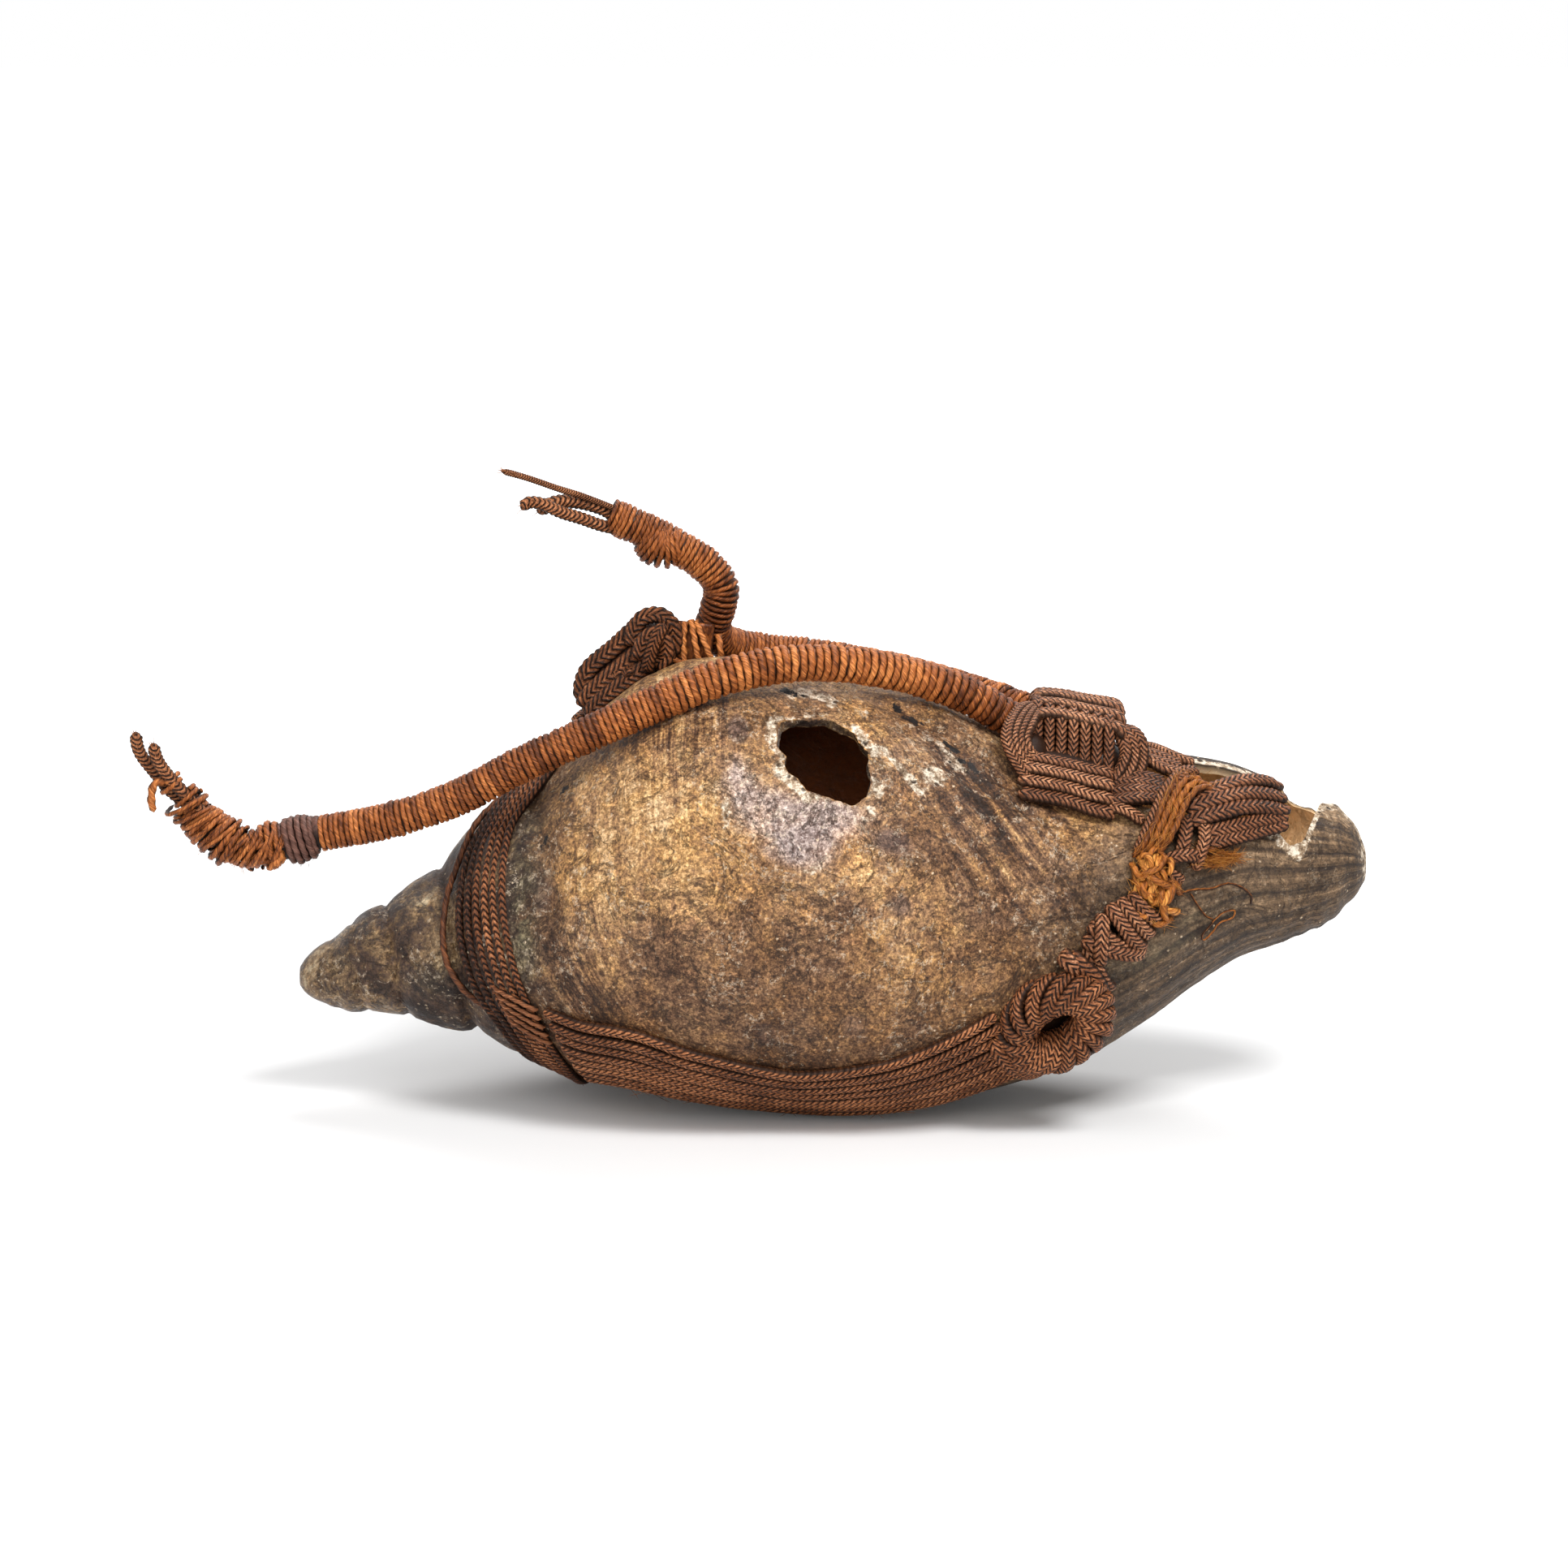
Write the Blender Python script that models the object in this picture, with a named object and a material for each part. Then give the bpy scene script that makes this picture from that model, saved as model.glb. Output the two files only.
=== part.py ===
"""Triton shell trumpet, bound with braided coir cord and carrying a broken rope handle.

Metres, +Z up. The shell lies along X, apex at -X and canal at +X, and rests on its belly.
A place on the shell is given by x, measured from the middle of its length, and by a turn
angle in degrees: 0 faces the front (-Y), 90 the top, 180 the back and -90 the floor.
"""

import math

import bmesh
import bpy
import numpy as np
from mathutils import Vector

MM = 0.001

# ---------------------------------------------------------------- driving dimensions
SHELL_LENGTH = 397.0 * MM
WALL = 4.5 * MM
WALL_AT_CANAL = 1.6 * MM
COLUMNS = 26
FLAT_BELOW = 2.9 * MM
HOLE_X = -3.0 * MM
HOLE_TURN = 48.4
HOLE_RADIUS = 17.0 * MM
HOLE_STRETCH = 1.03
HOLE_SIDES = 18
HOLE_DEPTH = (-14 * MM, 12 * MM)
HOLE_OVAL, HOLE_LEAN = 0.09, 128.0
HOLE_NOTCHES = (  # direction and width in degrees, how much further out in mm
    (305.0, 19.0, 4.6), (142.0, 16.0, 1.6), (184.0, 12.0, -2.2),
)
WALL_THINS_FROM, WALL_THIN_AT = 320.0, 396.0

ROPE = 13.4 * MM
SPIRE_CORD = 2.9 * MM
SPIRE_PITCH = 3.3 * MM
SPIRE_COUNT = 6
SPIRE_LIFT = SPIRE_CORD / 2 + 1.7 * MM
SPIRE_POINTS = 18
STRAY_CORD = 2.4 * MM
STRAY_LIFT = 3.2 * MM
BELLY_CORD = 4.4 * MM
BELLY_PITCH = 5.0 * MM
BELLY_COUNT = 8
BELLY_LIFT = BELLY_CORD / 2 + 1.3 * MM
BAND_POINTS = 12
TAIL_CORD = 4.0 * MM
THREAD = 1.0 * MM

# Growth profile: distance from the apex, height of the axis, radius, all in mm.
PROFILE = [
    (3.0, 46.8, 6.4), (8.0, 47.6, 10.3), (15.0, 48.5, 13.0), (22.0, 51.0, 17.5),
    (36.0, 54.3, 20.8), (45.0, 57.5, 25.0), (55.0, 58.8, 29.1), (65.0, 64.0, 37.8),
    (78.0, 69.7, 45.9), (97.0, 73.0, 58.2), (108.0, 75.0, 66.5), (120.0, 79.8, 72.5),
    (131.0, 83.4, 77.0), (149.0, 84.2, 82.0), (169.0, 83.4, 83.2), (191.0, 81.6, 82.6),
    (215.0, 78.5, 80.0), (232.0, 75.6, 76.0), (249.0, 73.2, 70.0), (270.0, 70.9, 63.2),
    (289.0, 72.9, 58.0), (302.0, 76.3, 53.8), (317.0, 80.8, 49.5), (334.0, 87.8, 42.3),
    (351.0, 91.5, 34.5), (360.0, 90.0, 31.0), (366.0, 89.3, 29.0), (373.0, 89.6, 26.5),
    (380.0, 90.0, 23.7), (389.0, 91.2, 14.7), (396.0, 89.2, 5.5),
]
APEX_HEIGHT = 46.5
CAVITY_TIP = (34.0, 54.0)
CAVITY_FROM = 45.0

# The aperture's edges: distance from the apex, turn of the inner lip, turn of the outer lip.
APERTURE_FROM = 169.0
APERTURE = [
    (169.0, 99.0, 99.0), (191.0, 91.0, 124.0), (215.0, 89.0, 150.0), (232.0, 88.5, 158.0),
    (249.0, 87.0, 157.0), (270.0, 80.0, 150.0), (289.0, 68.0, 136.0), (302.0, 57.0, 120.0),
    (317.0, 45.0, 92.0), (334.0, 41.0, 83.0), (351.0, 38.0, 81.0), (360.0, 37.0, 84.0),
    (366.0, 24.0, 116.0), (373.0, 42.0, 136.0), (380.0, 82.0, 142.0), (389.0, 96.0, 160.0),
    (396.0, 98.0, 185.0),
]


# ---------------------------------------------------------------- shared helpers
def clear_scene():
    """Remove every object, so that the file holds only the model."""
    for obj in list(bpy.data.objects):
        bpy.data.objects.remove(obj, do_unlink=True)


def material(name, colour, roughness):
    """A plain Principled material."""
    made = bpy.data.materials.new(name)
    made.use_nodes = True
    shader = made.node_tree.nodes["Principled BSDF"]
    shader.inputs["Base Color"].default_value = (*colour, 1.0)
    shader.inputs["Roughness"].default_value = roughness
    shader.inputs["Metallic"].default_value = 0.0
    return made


def column_values(table, x):
    """The table's columns at distance x from the apex, in mm."""
    rows = np.array(table)
    return [float(np.interp(x, rows[:, 0], rows[:, c])) for c in range(1, rows.shape[1])]


def section(x):
    """Height of the axis and radius of the shell at x from the middle, in metres."""
    height, radius = column_values(PROFILE, (x + SHELL_LENGTH / 2) / MM)
    return height * MM, radius * MM


def on_shell(x, turn, lift):
    """The point at x and turn, lift metres outside the shell's surface."""
    height, radius = section(x)
    angle = math.radians(turn)
    reach = radius + lift
    return Vector((x, -reach * math.cos(angle), height + reach * math.sin(angle)))


def smooth_curve(points, count):
    """Count points, evenly spaced, on a Catmull-Rom curve through the given points."""
    pts = [np.array(p, dtype=float) for p in points]
    pts = [2 * pts[0] - pts[1]] + pts + [2 * pts[-1] - pts[-2]]
    dense = []
    for a, b, c, d in zip(pts, pts[1:], pts[2:], pts[3:]):
        for t in np.linspace(0.0, 1.0, 24, endpoint=False):
            dense.append(0.5 * (2 * b + (c - a) * t + (2 * a - 5 * b + 4 * c - d) * t * t
                                + (3 * b - a - 3 * c + d) * t ** 3))
    dense.append(pts[-2])
    dense = np.array(dense)
    steps = np.linalg.norm(np.diff(dense, axis=0), axis=1)
    run = np.concatenate([[0.0], np.cumsum(steps)])
    even = np.linspace(0.0, run[-1], count)
    return np.stack([np.interp(even, run, dense[:, k]) for k in range(dense.shape[1])], axis=1)


def add_mesh(name, vertices, faces, finish, smooth=True):
    """A closed mesh object with its faces turned outwards."""
    mesh = bpy.data.meshes.new(name)
    mesh.from_pydata([tuple(v) for v in vertices], [], faces)
    shape = bmesh.new()
    shape.from_mesh(mesh)
    bmesh.ops.recalc_face_normals(shape, faces=shape.faces)
    shape.to_mesh(mesh)
    shape.free()
    if smooth:
        mesh.shade_smooth()
        mesh.set_sharp_from_angle(angle=math.radians(40))
    obj = bpy.data.objects.new(name, mesh)
    obj.data.materials.append(finish)
    bpy.context.scene.collection.objects.link(obj)
    return obj


def add_cord(name, points, diameter, finish, resolution=2):
    """A round cord along the points, with filled ends."""
    curve = bpy.data.curves.new(name, "CURVE")
    curve.dimensions = "3D"
    curve.bevel_depth = diameter / 2
    curve.bevel_resolution = resolution
    curve.use_fill_caps = True
    curve.twist_mode = "MINIMUM"
    spline = curve.splines.new("POLY")
    spline.points.add(len(points) - 1)
    for point, place in zip(spline.points, points):
        point.co = (*place, 1.0)
    curve.materials.append(finish)
    obj = bpy.data.objects.new(name, curve)
    bpy.context.scene.collection.objects.link(obj)
    return obj


PAD_SEGMENTS = 14
PAD_RINGS = (0.5, 0.85)
PAD_EDGE = 0.25  # share of a pad's height that stands straight up at its rim


def add_pad(name, x, turn, size, height, finish, tilt=0.0, low=1.3 * MM, square=2.6):
    """A domed solid that follows the shell: size is its length and width along the surface,
    tilt turns it in the surface, and square is 2 for an oval and more for a block."""
    radius = section(x)[1]
    tip = math.radians(tilt)

    def place(across, along, lift):
        """The point at across and along in the surface from the pad's middle."""
        shift = across * math.cos(tip) - along * math.sin(tip)
        climb = across * math.sin(tip) + along * math.cos(tip)
        return on_shell(x + shift, turn + math.degrees(climb / (radius + lift)), lift)

    def ring(scale, lift):
        """A ring of points at the given share of the pad's outline."""
        points = []
        for k in range(PAD_SEGMENTS):
            angle = 2 * math.pi * k / PAD_SEGMENTS
            c, s = math.cos(angle), math.sin(angle)
            across = math.copysign(abs(c) ** (2 / square), c) * size[0] / 2 * scale
            along = math.copysign(abs(s) ** (2 / square), s) * size[1] / 2 * scale
            points.append(place(across, along, lift))
        return points

    def dome(scale):
        """Height of the dome at a share of the outline."""
        return low + height * (PAD_EDGE + (1 - PAD_EDGE) * (1 - scale ** 3))

    rim = low + 0.3 * PAD_EDGE * height
    loops = [ring(s, low) for s in PAD_RINGS] + [ring(1.0, rim)]
    loops += [ring(s, dome(s)) for s in reversed(PAD_RINGS)]
    vertices = [place(0, 0, low)] + [p for loop in loops for p in loop]
    vertices.append(place(0, 0, low + height))
    faces = []
    for k in range(PAD_SEGMENTS):
        after = (k + 1) % PAD_SEGMENTS
        faces.append((0, 1 + after, 1 + k))
        for r in range(len(loops) - 1):
            a = 1 + r * PAD_SEGMENTS
            b = a + PAD_SEGMENTS
            faces.append((a + k, a + after, b + after, b + k))
        a = 1 + (len(loops) - 1) * PAD_SEGMENTS
        faces.append((a + k, a + after, len(vertices) - 1))
    return add_mesh(name, vertices, faces, finish)


def add_bead(name, start, end, radii, finish, sides=12):
    """A round solid along a straight line, with its radius given at even steps."""
    start, end = Vector(start), Vector(end)
    axis = (end - start).normalized()
    side = axis.orthogonal().normalized()
    other = axis.cross(side)
    vertices = []
    for step, radius in enumerate(radii):
        centre = start.lerp(end, step / (len(radii) - 1))
        for k in range(sides):
            angle = 2 * math.pi * k / sides
            vertices.append(centre + radius * (math.cos(angle) * side + math.sin(angle) * other))
    faces = [tuple(range(sides))[::-1], tuple(range(len(vertices) - sides, len(vertices)))]
    for r in range(len(radii) - 1):
        for k in range(sides):
            after = (k + 1) % sides
            a = r * sides
            faces.append((a + k, a + after, a + sides + after, a + sides + k))
    return add_mesh(name, vertices, faces, finish)


# ---------------------------------------------------------------- the shell
def wall_at(distance):
    """Wall thickness at a distance in mm from the apex: it thins along the canal."""
    thin = (distance - WALL_THINS_FROM) / (WALL_THIN_AT - WALL_THINS_FROM)
    return WALL + (WALL_AT_CANAL - WALL) * min(max(thin, 0.0), 1.0)


def shell_ring(distance, inset):
    """The points of one section, from the inner lip round the front, floor and back."""
    height, radius = column_values(PROFILE, distance)
    inner_lip, outer_lip = column_values(APERTURE, distance)
    span = 360.0 - (outer_lip - inner_lip)
    points = []
    for k in range(COLUMNS + 1):
        angle = math.radians(inner_lip - span * k / COLUMNS)
        reach = radius * MM - inset
        z = height * MM + reach * math.sin(angle)
        if inset == 0.0 and z < FLAT_BELOW:
            z = 0.0
        points.append(Vector((distance * MM - SHELL_LENGTH / 2, -reach * math.cos(angle), z)))
    return points


def skin(rings, tip, base):
    """Faces of one skin: a fan at the tip, then strips. Closed sections share their seam."""
    def index(i, k):
        """Vertex k of ring i; a closed ring's last column is its first."""
        if rings[i] <= APERTURE_FROM and k == COLUMNS:
            k = 0
        return base + i * (COLUMNS + 1) + k

    faces = [(tip, index(0, k), index(0, k + 1)) for k in range(COLUMNS)]
    for i in range(len(rings) - 1):
        for k in range(COLUMNS):
            faces.append((index(i, k), index(i, k + 1), index(i + 1, k + 1), index(i + 1, k)))
    return faces, index


def build_shell(finish):
    """The hollow shell: outer skin, inner skin, the aperture's lips and the canal's end."""
    outer = [row[0] for row in PROFILE]
    inner = [row[0] for row in PROFILE if row[0] >= CAVITY_FROM]
    vertices = []
    for distance in outer:
        vertices += shell_ring(distance, 0.0)
    inner_base = len(vertices)
    for distance in inner:
        vertices += shell_ring(distance, wall_at(distance))
    apex, cavity_tip = len(vertices), len(vertices) + 1
    vertices.append(Vector((-SHELL_LENGTH / 2, 0.0, APEX_HEIGHT * MM)))
    vertices.append(Vector((CAVITY_TIP[0] * MM - SHELL_LENGTH / 2, 0.0, CAVITY_TIP[1] * MM)))
    faces, at_outer = skin(outer, apex, 0)
    inner_faces, at_inner = skin(inner, cavity_tip, inner_base)
    faces += inner_faces
    skipped = len(outer) - len(inner)
    first = outer.index(APERTURE_FROM)
    for i in range(first, len(outer) - 1):
        for k in (0, COLUMNS):
            faces.append((at_outer(i, k), at_outer(i + 1, k),
                          at_inner(i + 1 - skipped, k), at_inner(i - skipped, k)))
    last = len(outer) - 1
    for k in range(COLUMNS):
        faces.append((at_outer(last, k), at_outer(last, k + 1),
                      at_inner(last - skipped, k + 1), at_inner(last - skipped, k)))
    shell = add_mesh("shell", vertices, faces, finish)
    shape = bmesh.new()
    shape.from_mesh(shell.data)
    loose = [v for v in shape.verts if not v.link_faces]
    bmesh.ops.delete(shape, geom=loose, context="VERTS")
    bmesh.ops.recalc_face_normals(shape, faces=shape.faces)
    shape.to_mesh(shell.data)
    shape.free()
    cutter = hole_cutter(finish)
    cut = shell.modifiers.new("blow hole", "BOOLEAN")
    cut.operation = "DIFFERENCE"
    cut.solver = "EXACT"
    cut.object = cutter
    return shell


def hole_outline(angle):
    """Radius of the blow hole in each direction: it reaches furthest down to the right and up
    to the left."""
    degrees = math.degrees(angle)
    radius = HOLE_RADIUS * (1 + HOLE_OVAL * math.cos(2 * math.radians(degrees - HOLE_LEAN)))
    for towards, wide, more in HOLE_NOTCHES:
        radius += more * MM * math.exp(-((degrees - towards) / wide) ** 2)
    return radius


def hole_cutter(finish):
    """The ragged prism that breaks the blow hole through the wall."""
    centre = on_shell(HOLE_X, HOLE_TURN, 0.0)
    angle = math.radians(HOLE_TURN)
    outward = Vector((0.0, -math.cos(angle), math.sin(angle)))
    up = Vector((0.0, math.sin(angle), math.cos(angle)))
    rings = []
    for reach in HOLE_DEPTH:
        for k in range(HOLE_SIDES):
            a = 2 * math.pi * k / HOLE_SIDES
            radius = hole_outline(a)
            side = radius * HOLE_STRETCH * math.cos(a) * Vector((1.0, 0.0, 0.0))
            rings.append(centre + reach * outward + side + radius * math.sin(a) * up)
    faces = [tuple(range(HOLE_SIDES)), tuple(range(2 * HOLE_SIDES - 1, HOLE_SIDES - 1, -1))]
    for k in range(HOLE_SIDES):
        after = (k + 1) % HOLE_SIDES
        faces.append((k, after, HOLE_SIDES + after, HOLE_SIDES + k))
    cutter = add_mesh("hole_cutter", rings, faces, finish, smooth=False)
    cutter.hide_render = True
    cutter.hide_viewport = True
    cutter.display_type = "WIRE"
    return cutter


# ---------------------------------------------------------------- bands round the shell
def band_cord(route, offset, lift, count):
    """One cord of a band, offset metres to the side of the band's middle line."""
    line = smooth_curve(route, count)
    points = []
    for k, (x_mm, turn) in enumerate(line):
        before, after = line[max(k - 1, 0)], line[min(k + 1, count - 1)]
        radius = section(x_mm * MM)[1]
        along = np.array([(after[0] - before[0]) * MM,
                          math.radians(after[1] - before[1]) * radius])
        along /= np.linalg.norm(along)
        x = x_mm * MM + offset * along[1]
        points.append(on_shell(x, turn - math.degrees(offset * along[0] / radius), lift))
    return points


SPIRE_ROUTE = [  # x in mm from the middle, turn
    (-95, 98), (-101, 90), (-109, 76), (-122, 62), (-126.5, 45), (-127.5, 17), (-122.5, -14),
    (-113, -42), (-106, -60), (-100.5, -80), (-95, -110), (-88, -140), (-82, -170), (-78, -200),
    (-76, -222),
]
STRAY_ROUTE = [
    (-134.5, 64), (-138.3, 52), (-140.8, 40), (-142, 20), (-141, 2), (-137.5, -12), (-133.5, -22),
]
BELLY_START = -98.5
BELLY_START_STEP = 1.6
BELLY_ROUTE = [
    (-104, -44.5), (-80, -44), (-54, -49), (-19, -54.5), (-4, -54), (16, -50.5), (37, -45.5),
    (59, -37.5),
]


def build_bands(finish):
    """Six cords round the spire and eight along the belly, each its own solid."""
    for n in range(SPIRE_COUNT):
        offset = (n - (SPIRE_COUNT - 1) / 2) * SPIRE_PITCH
        points = band_cord(SPIRE_ROUTE, offset, SPIRE_LIFT, SPIRE_POINTS)
        add_cord(f"spire_cord_{n + 1}", points, SPIRE_CORD, finish)
    stray = band_cord(STRAY_ROUTE, 0.0, STRAY_LIFT, BAND_POINTS)
    add_cord("spire_stray_cord", stray, STRAY_CORD, finish)
    for n in range(BELLY_COUNT):
        offset = (n - (BELLY_COUNT - 1) / 2) * BELLY_PITCH
        points = band_cord(BELLY_ROUTE, offset, BELLY_LIFT, BAND_POINTS)
        start = (BELLY_START + n * BELLY_START_STEP) * MM
        points = [p for p in points if p.x > start]
        add_cord(f"belly_cord_{n + 1}", points, BELLY_CORD, finish)


# ---------------------------------------------------------------- the broken handle
FRONT_ROPE_ROUTE = [  # mm
    (62, -9, 148), (46, -12, 157), (25, -17, 164.5), (4, -25, 169.5), (-19, -32, 170.5),
    (-43, -38, 166), (-66, -42, 157), (-89, -45, 147), (-113, -46, 136), (-136, -46, 124),
    (-160, -46, 116), (-185, -45, 111),
]
REAR_ROPE_ROUTE = [
    (69, 17, 146), (54, 27, 149.5), (27, 42, 154), (-3, 50, 158), (-23, 51, 160), (-38, 45, 164),
    (-44, 38, 171), (-42, 33, 180), (-41, 31, 189), (-47, 30, 197), (-56, 29, 203),
    (-68, 28, 209.5), (-82, 27, 216),
]


def mm(points):
    """Millimetres to metres."""
    return [tuple(c * MM for c in p) for p in points]


def build_handle(rope, dark):
    """Both stumps of the rope handle, with the knot, wraps and braid tails at their ends."""
    add_cord("handle_rope_front", smooth_curve(mm(FRONT_ROPE_ROUTE), 22), ROPE, rope, 3)
    add_cord("handle_rope_rear", smooth_curve(mm(REAR_ROPE_ROUTE), 24), ROPE, rope, 3)
    ring_radii = [r * MM for r in (6.6, 8.4, 8.6, 7.0)]
    add_bead("handle_front_ring", *mm([(-187.0, -45, 110.7), (-196.5, -45, 107.5)]), ring_radii, dark)
    knot_radii = [r * MM for r in (5.0, 8.0, 8.6, 8.0, 5.0)]
    add_bead("handle_front_knot", *mm([(-197.2, -45.5, 107), (-211, -46, 104)]), knot_radii, rope)
    wrap_radii = [r * MM for r in (5.5, 8.2, 8.4, 7.6, 4.6)]
    add_bead("handle_front_wraps", *mm([(-214.6, -46, 106.0), (-231, -44, 118)]), wrap_radii, rope)
    tail_a = mm([(-232, -43.5, 120), (-238, -43, 126.5), (-246, -43, 136.5), (-253, -43, 148)])
    tail_b = mm([(-236.8, -48, 131), (-240, -48.5, 138), (-243, -48, 147)])
    add_cord("handle_front_tail_1", smooth_curve(tail_a, 9), TAIL_CORD, rope)
    add_cord("handle_front_tail_2", smooth_curve(tail_b, 5), TAIL_CORD, rope)
    tails = {
        "handle_rear_tail_1": ([(-82.6, 27, 220), (-97, 26, 226), (-110, 25, 231), (-123, 24, 235)], 2.2),
        "handle_rear_tail_2": ([(-83.2, 29, 216), (-95, 29, 220), (-106, 28.5, 221.5), (-115, 28, 220)], 3.4),
        "handle_rear_tail_3": ([(-84.3, 24.5, 212), (-92, 24, 215), (-101, 24, 217), (-109, 24, 216.5)], 3.0),
    }
    for name, (route, diameter) in tails.items():
        add_cord(name, smooth_curve(mm(route), 7), diameter * MM, rope)


# ---------------------------------------------------------------- knots and lashings
def build_knots(braid, pale, coir):
    """Knots and lashings as plain soft solids that sit on the shell."""
    add_pad("rear_knot", -78 * MM, 117, (27 * MM, 40 * MM), 23 * MM, braid, tilt=-30)
    add_pad("rear_lashing", -51.5 * MM, 116, (8.5 * MM, 20 * MM), 8 * MM, braid)
    add_pad("block_knot", 88 * MM, 77, (44 * MM, 44 * MM), 23 * MM, pale, tilt=-12, square=4.5)
    add_pad("belly_knot", 81.5 * MM, -26, (46 * MM, 34 * MM), 19 * MM, braid, tilt=48, square=2.3)
    add_pad("belly_lashing_low", 98 * MM, 0, (14 * MM, 14 * MM), 9 * MM, pale, tilt=-30)
    add_pad("belly_lashing_high", 109 * MM, -5, (9 * MM, 11 * MM), 8 * MM, pale, tilt=-40)
    add_pad("coir_tie_knot", 117 * MM, 17, (17 * MM, 19 * MM), 10 * MM, coir, tilt=-10)
    add_pad("coir_tie_strap", 122 * MM, 45, (10 * MM, 26 * MM), 9 * MM, coir, tilt=-36)
    for n in range(3):
        add_pad(f"lip_lashing_{n + 1}", 148.5 * MM, 57.5 - 8.4 * n, (30 * MM, 5.4 * MM), 4.5 * MM,
                pale, tilt=8, low=3.0 * MM, square=3.5)
    for n in range(2):
        add_pad(f"lip_lashing_low_{n + 1}", 150 * MM, 32.7 - 7.5 * n, (26 * MM, 4.8 * MM), 4 * MM,
                pale, tilt=8, low=2.6 * MM, square=3.5)
    add_pad("lip_post_1", 131.5 * MM, 27, (4.4 * MM, 12 * MM), 5 * MM, pale, square=3.0)
    add_pad("fibre_tuft", 143 * MM, 14.5, (15 * MM, 8 * MM), 6 * MM, coir)


THREAD_ROUTE = [(124, -47.5, 91), (132, -46, 92.5), (141, -43.5, 92.5), (150, -40.5, 88)]  # mm


def main():
    """Build the whole trumpet."""
    clear_scene()
    shell = material("shell", (0.29, 0.19, 0.11), 0.55)
    sennit = material("dark_sennit", (0.15, 0.075, 0.045), 0.8)
    pale = material("brown_sennit", (0.2, 0.11, 0.07), 0.8)
    rope = material("wrapped_rope", (0.26, 0.11, 0.05), 0.75)
    dark = material("dark_whipping", (0.07, 0.035, 0.035), 0.8)
    coir = material("golden_coir", (0.5, 0.25, 0.08), 0.85)
    build_shell(shell)
    build_bands(sennit)
    build_handle(rope, dark)
    build_knots(sennit, pale, coir)
    add_cord("loose_thread", smooth_curve(mm(THREAD_ROUTE), 8), THREAD, coir)


main()
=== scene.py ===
"""Looks of the triton shell trumpet: worn shell, braided sennit, wrapped handle ropes."""

import math

import bmesh
import bpy
import numpy as np
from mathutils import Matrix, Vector


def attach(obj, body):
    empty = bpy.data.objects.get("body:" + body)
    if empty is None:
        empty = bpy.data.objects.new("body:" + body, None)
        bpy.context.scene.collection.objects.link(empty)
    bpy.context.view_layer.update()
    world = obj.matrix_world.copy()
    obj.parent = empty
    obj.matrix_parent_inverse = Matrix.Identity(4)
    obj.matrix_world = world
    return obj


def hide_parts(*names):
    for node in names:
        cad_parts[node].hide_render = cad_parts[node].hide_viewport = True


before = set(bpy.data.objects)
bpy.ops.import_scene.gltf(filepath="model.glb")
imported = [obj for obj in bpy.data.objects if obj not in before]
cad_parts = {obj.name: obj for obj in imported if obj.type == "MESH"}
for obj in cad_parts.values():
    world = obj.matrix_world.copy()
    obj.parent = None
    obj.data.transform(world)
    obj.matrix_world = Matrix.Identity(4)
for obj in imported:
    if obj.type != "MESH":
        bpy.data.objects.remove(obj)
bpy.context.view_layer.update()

MM = 0.001
RNG = np.random.default_rng(7)

# ---------------------------------------------------------------- driving dimensions
SHELL_LENGTH = 397.0 * MM
WALL = 4.2 * MM
WALL_AT_CANAL = 1.3 * MM
FOOT_CLEARANCE = 0.2 * MM
# Stations along the shell, the first of each skin in mm from the apex, and columns round it.
STATIONS = 262
OUTER_FROM, INNER_FROM = 0.9, 30.0
INNER_COLUMNS = 36
FAN = 8
COLUMNS = INNER_COLUMNS * FAN
# The whorls' spiral: growth of a turn, and the highest suture's distance from the apex in mm.
WHORL_GROWTH, TOP_SUTURE = 1.62, 87.0
HOLE_X, HOLE_TURN, HOLE_RADIUS = -3.0 * MM, 48.4, 16.6 * MM
# Bulges of the blow hole's outline: towards and half width in degrees, reach in mm.
HOLE_BULGES = ((305, 19, 4.6), (142, 16, 1.6), (184, 12, -2.2))
SHARP_EDGE = math.radians(55)
ROPE = 13.4 * MM
# Points for each turn of loose twine and of the twine on the ropes.
COIL_STEPS, ROPE_STEPS = 26, 18
FIBRE = 0.09 * MM
BAND_STEP, LINE_STEP, ROUTE_STEP, FINE_STEP = 2.2 * MM, 1.2 * MM, 1.0 * MM, 0.8 * MM
# Where an arch or a knot's dark filling meets the shell, in mm above it.
ARCH_FOOT, CORE_FOOT = 1.2, 0.6

# Growth profile: distance from the apex, height of the axis, radius, all in mm.
PROFILE = np.array([
    (0, 46.5, 0), (1, 46.6, 3.9), (3, 46.8, 6.6), (8, 47.6, 10.4), (15, 48.5, 13.2),
    (22, 51, 17.2), (36, 54.3, 21.2), (45, 57, 25), (55, 59.6, 30.2),
    (65, 64, 37), (78, 69.2, 46), (97, 73, 58.2), (108, 75.6, 66),
    (120, 79.4, 72.4), (131, 82.4, 77), (149, 84, 81.6), (169, 83.4, 82.9),
    (191, 81.4, 82.2), (215, 78.3, 79.7), (232, 75.8, 75.7), (249, 73.2, 70),
    (270, 71.6, 63), (289, 73, 58), (302, 76.3, 53.8), (317, 81.2, 49),
    (334, 87.2, 42.3), (351, 90.6, 34.8), (366, 90, 29.2), (380, 90.2, 23.2),
    (389, 91, 15.6), (393.5, 90.4, 10), (396.3, 89.4, 5),
])
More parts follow.
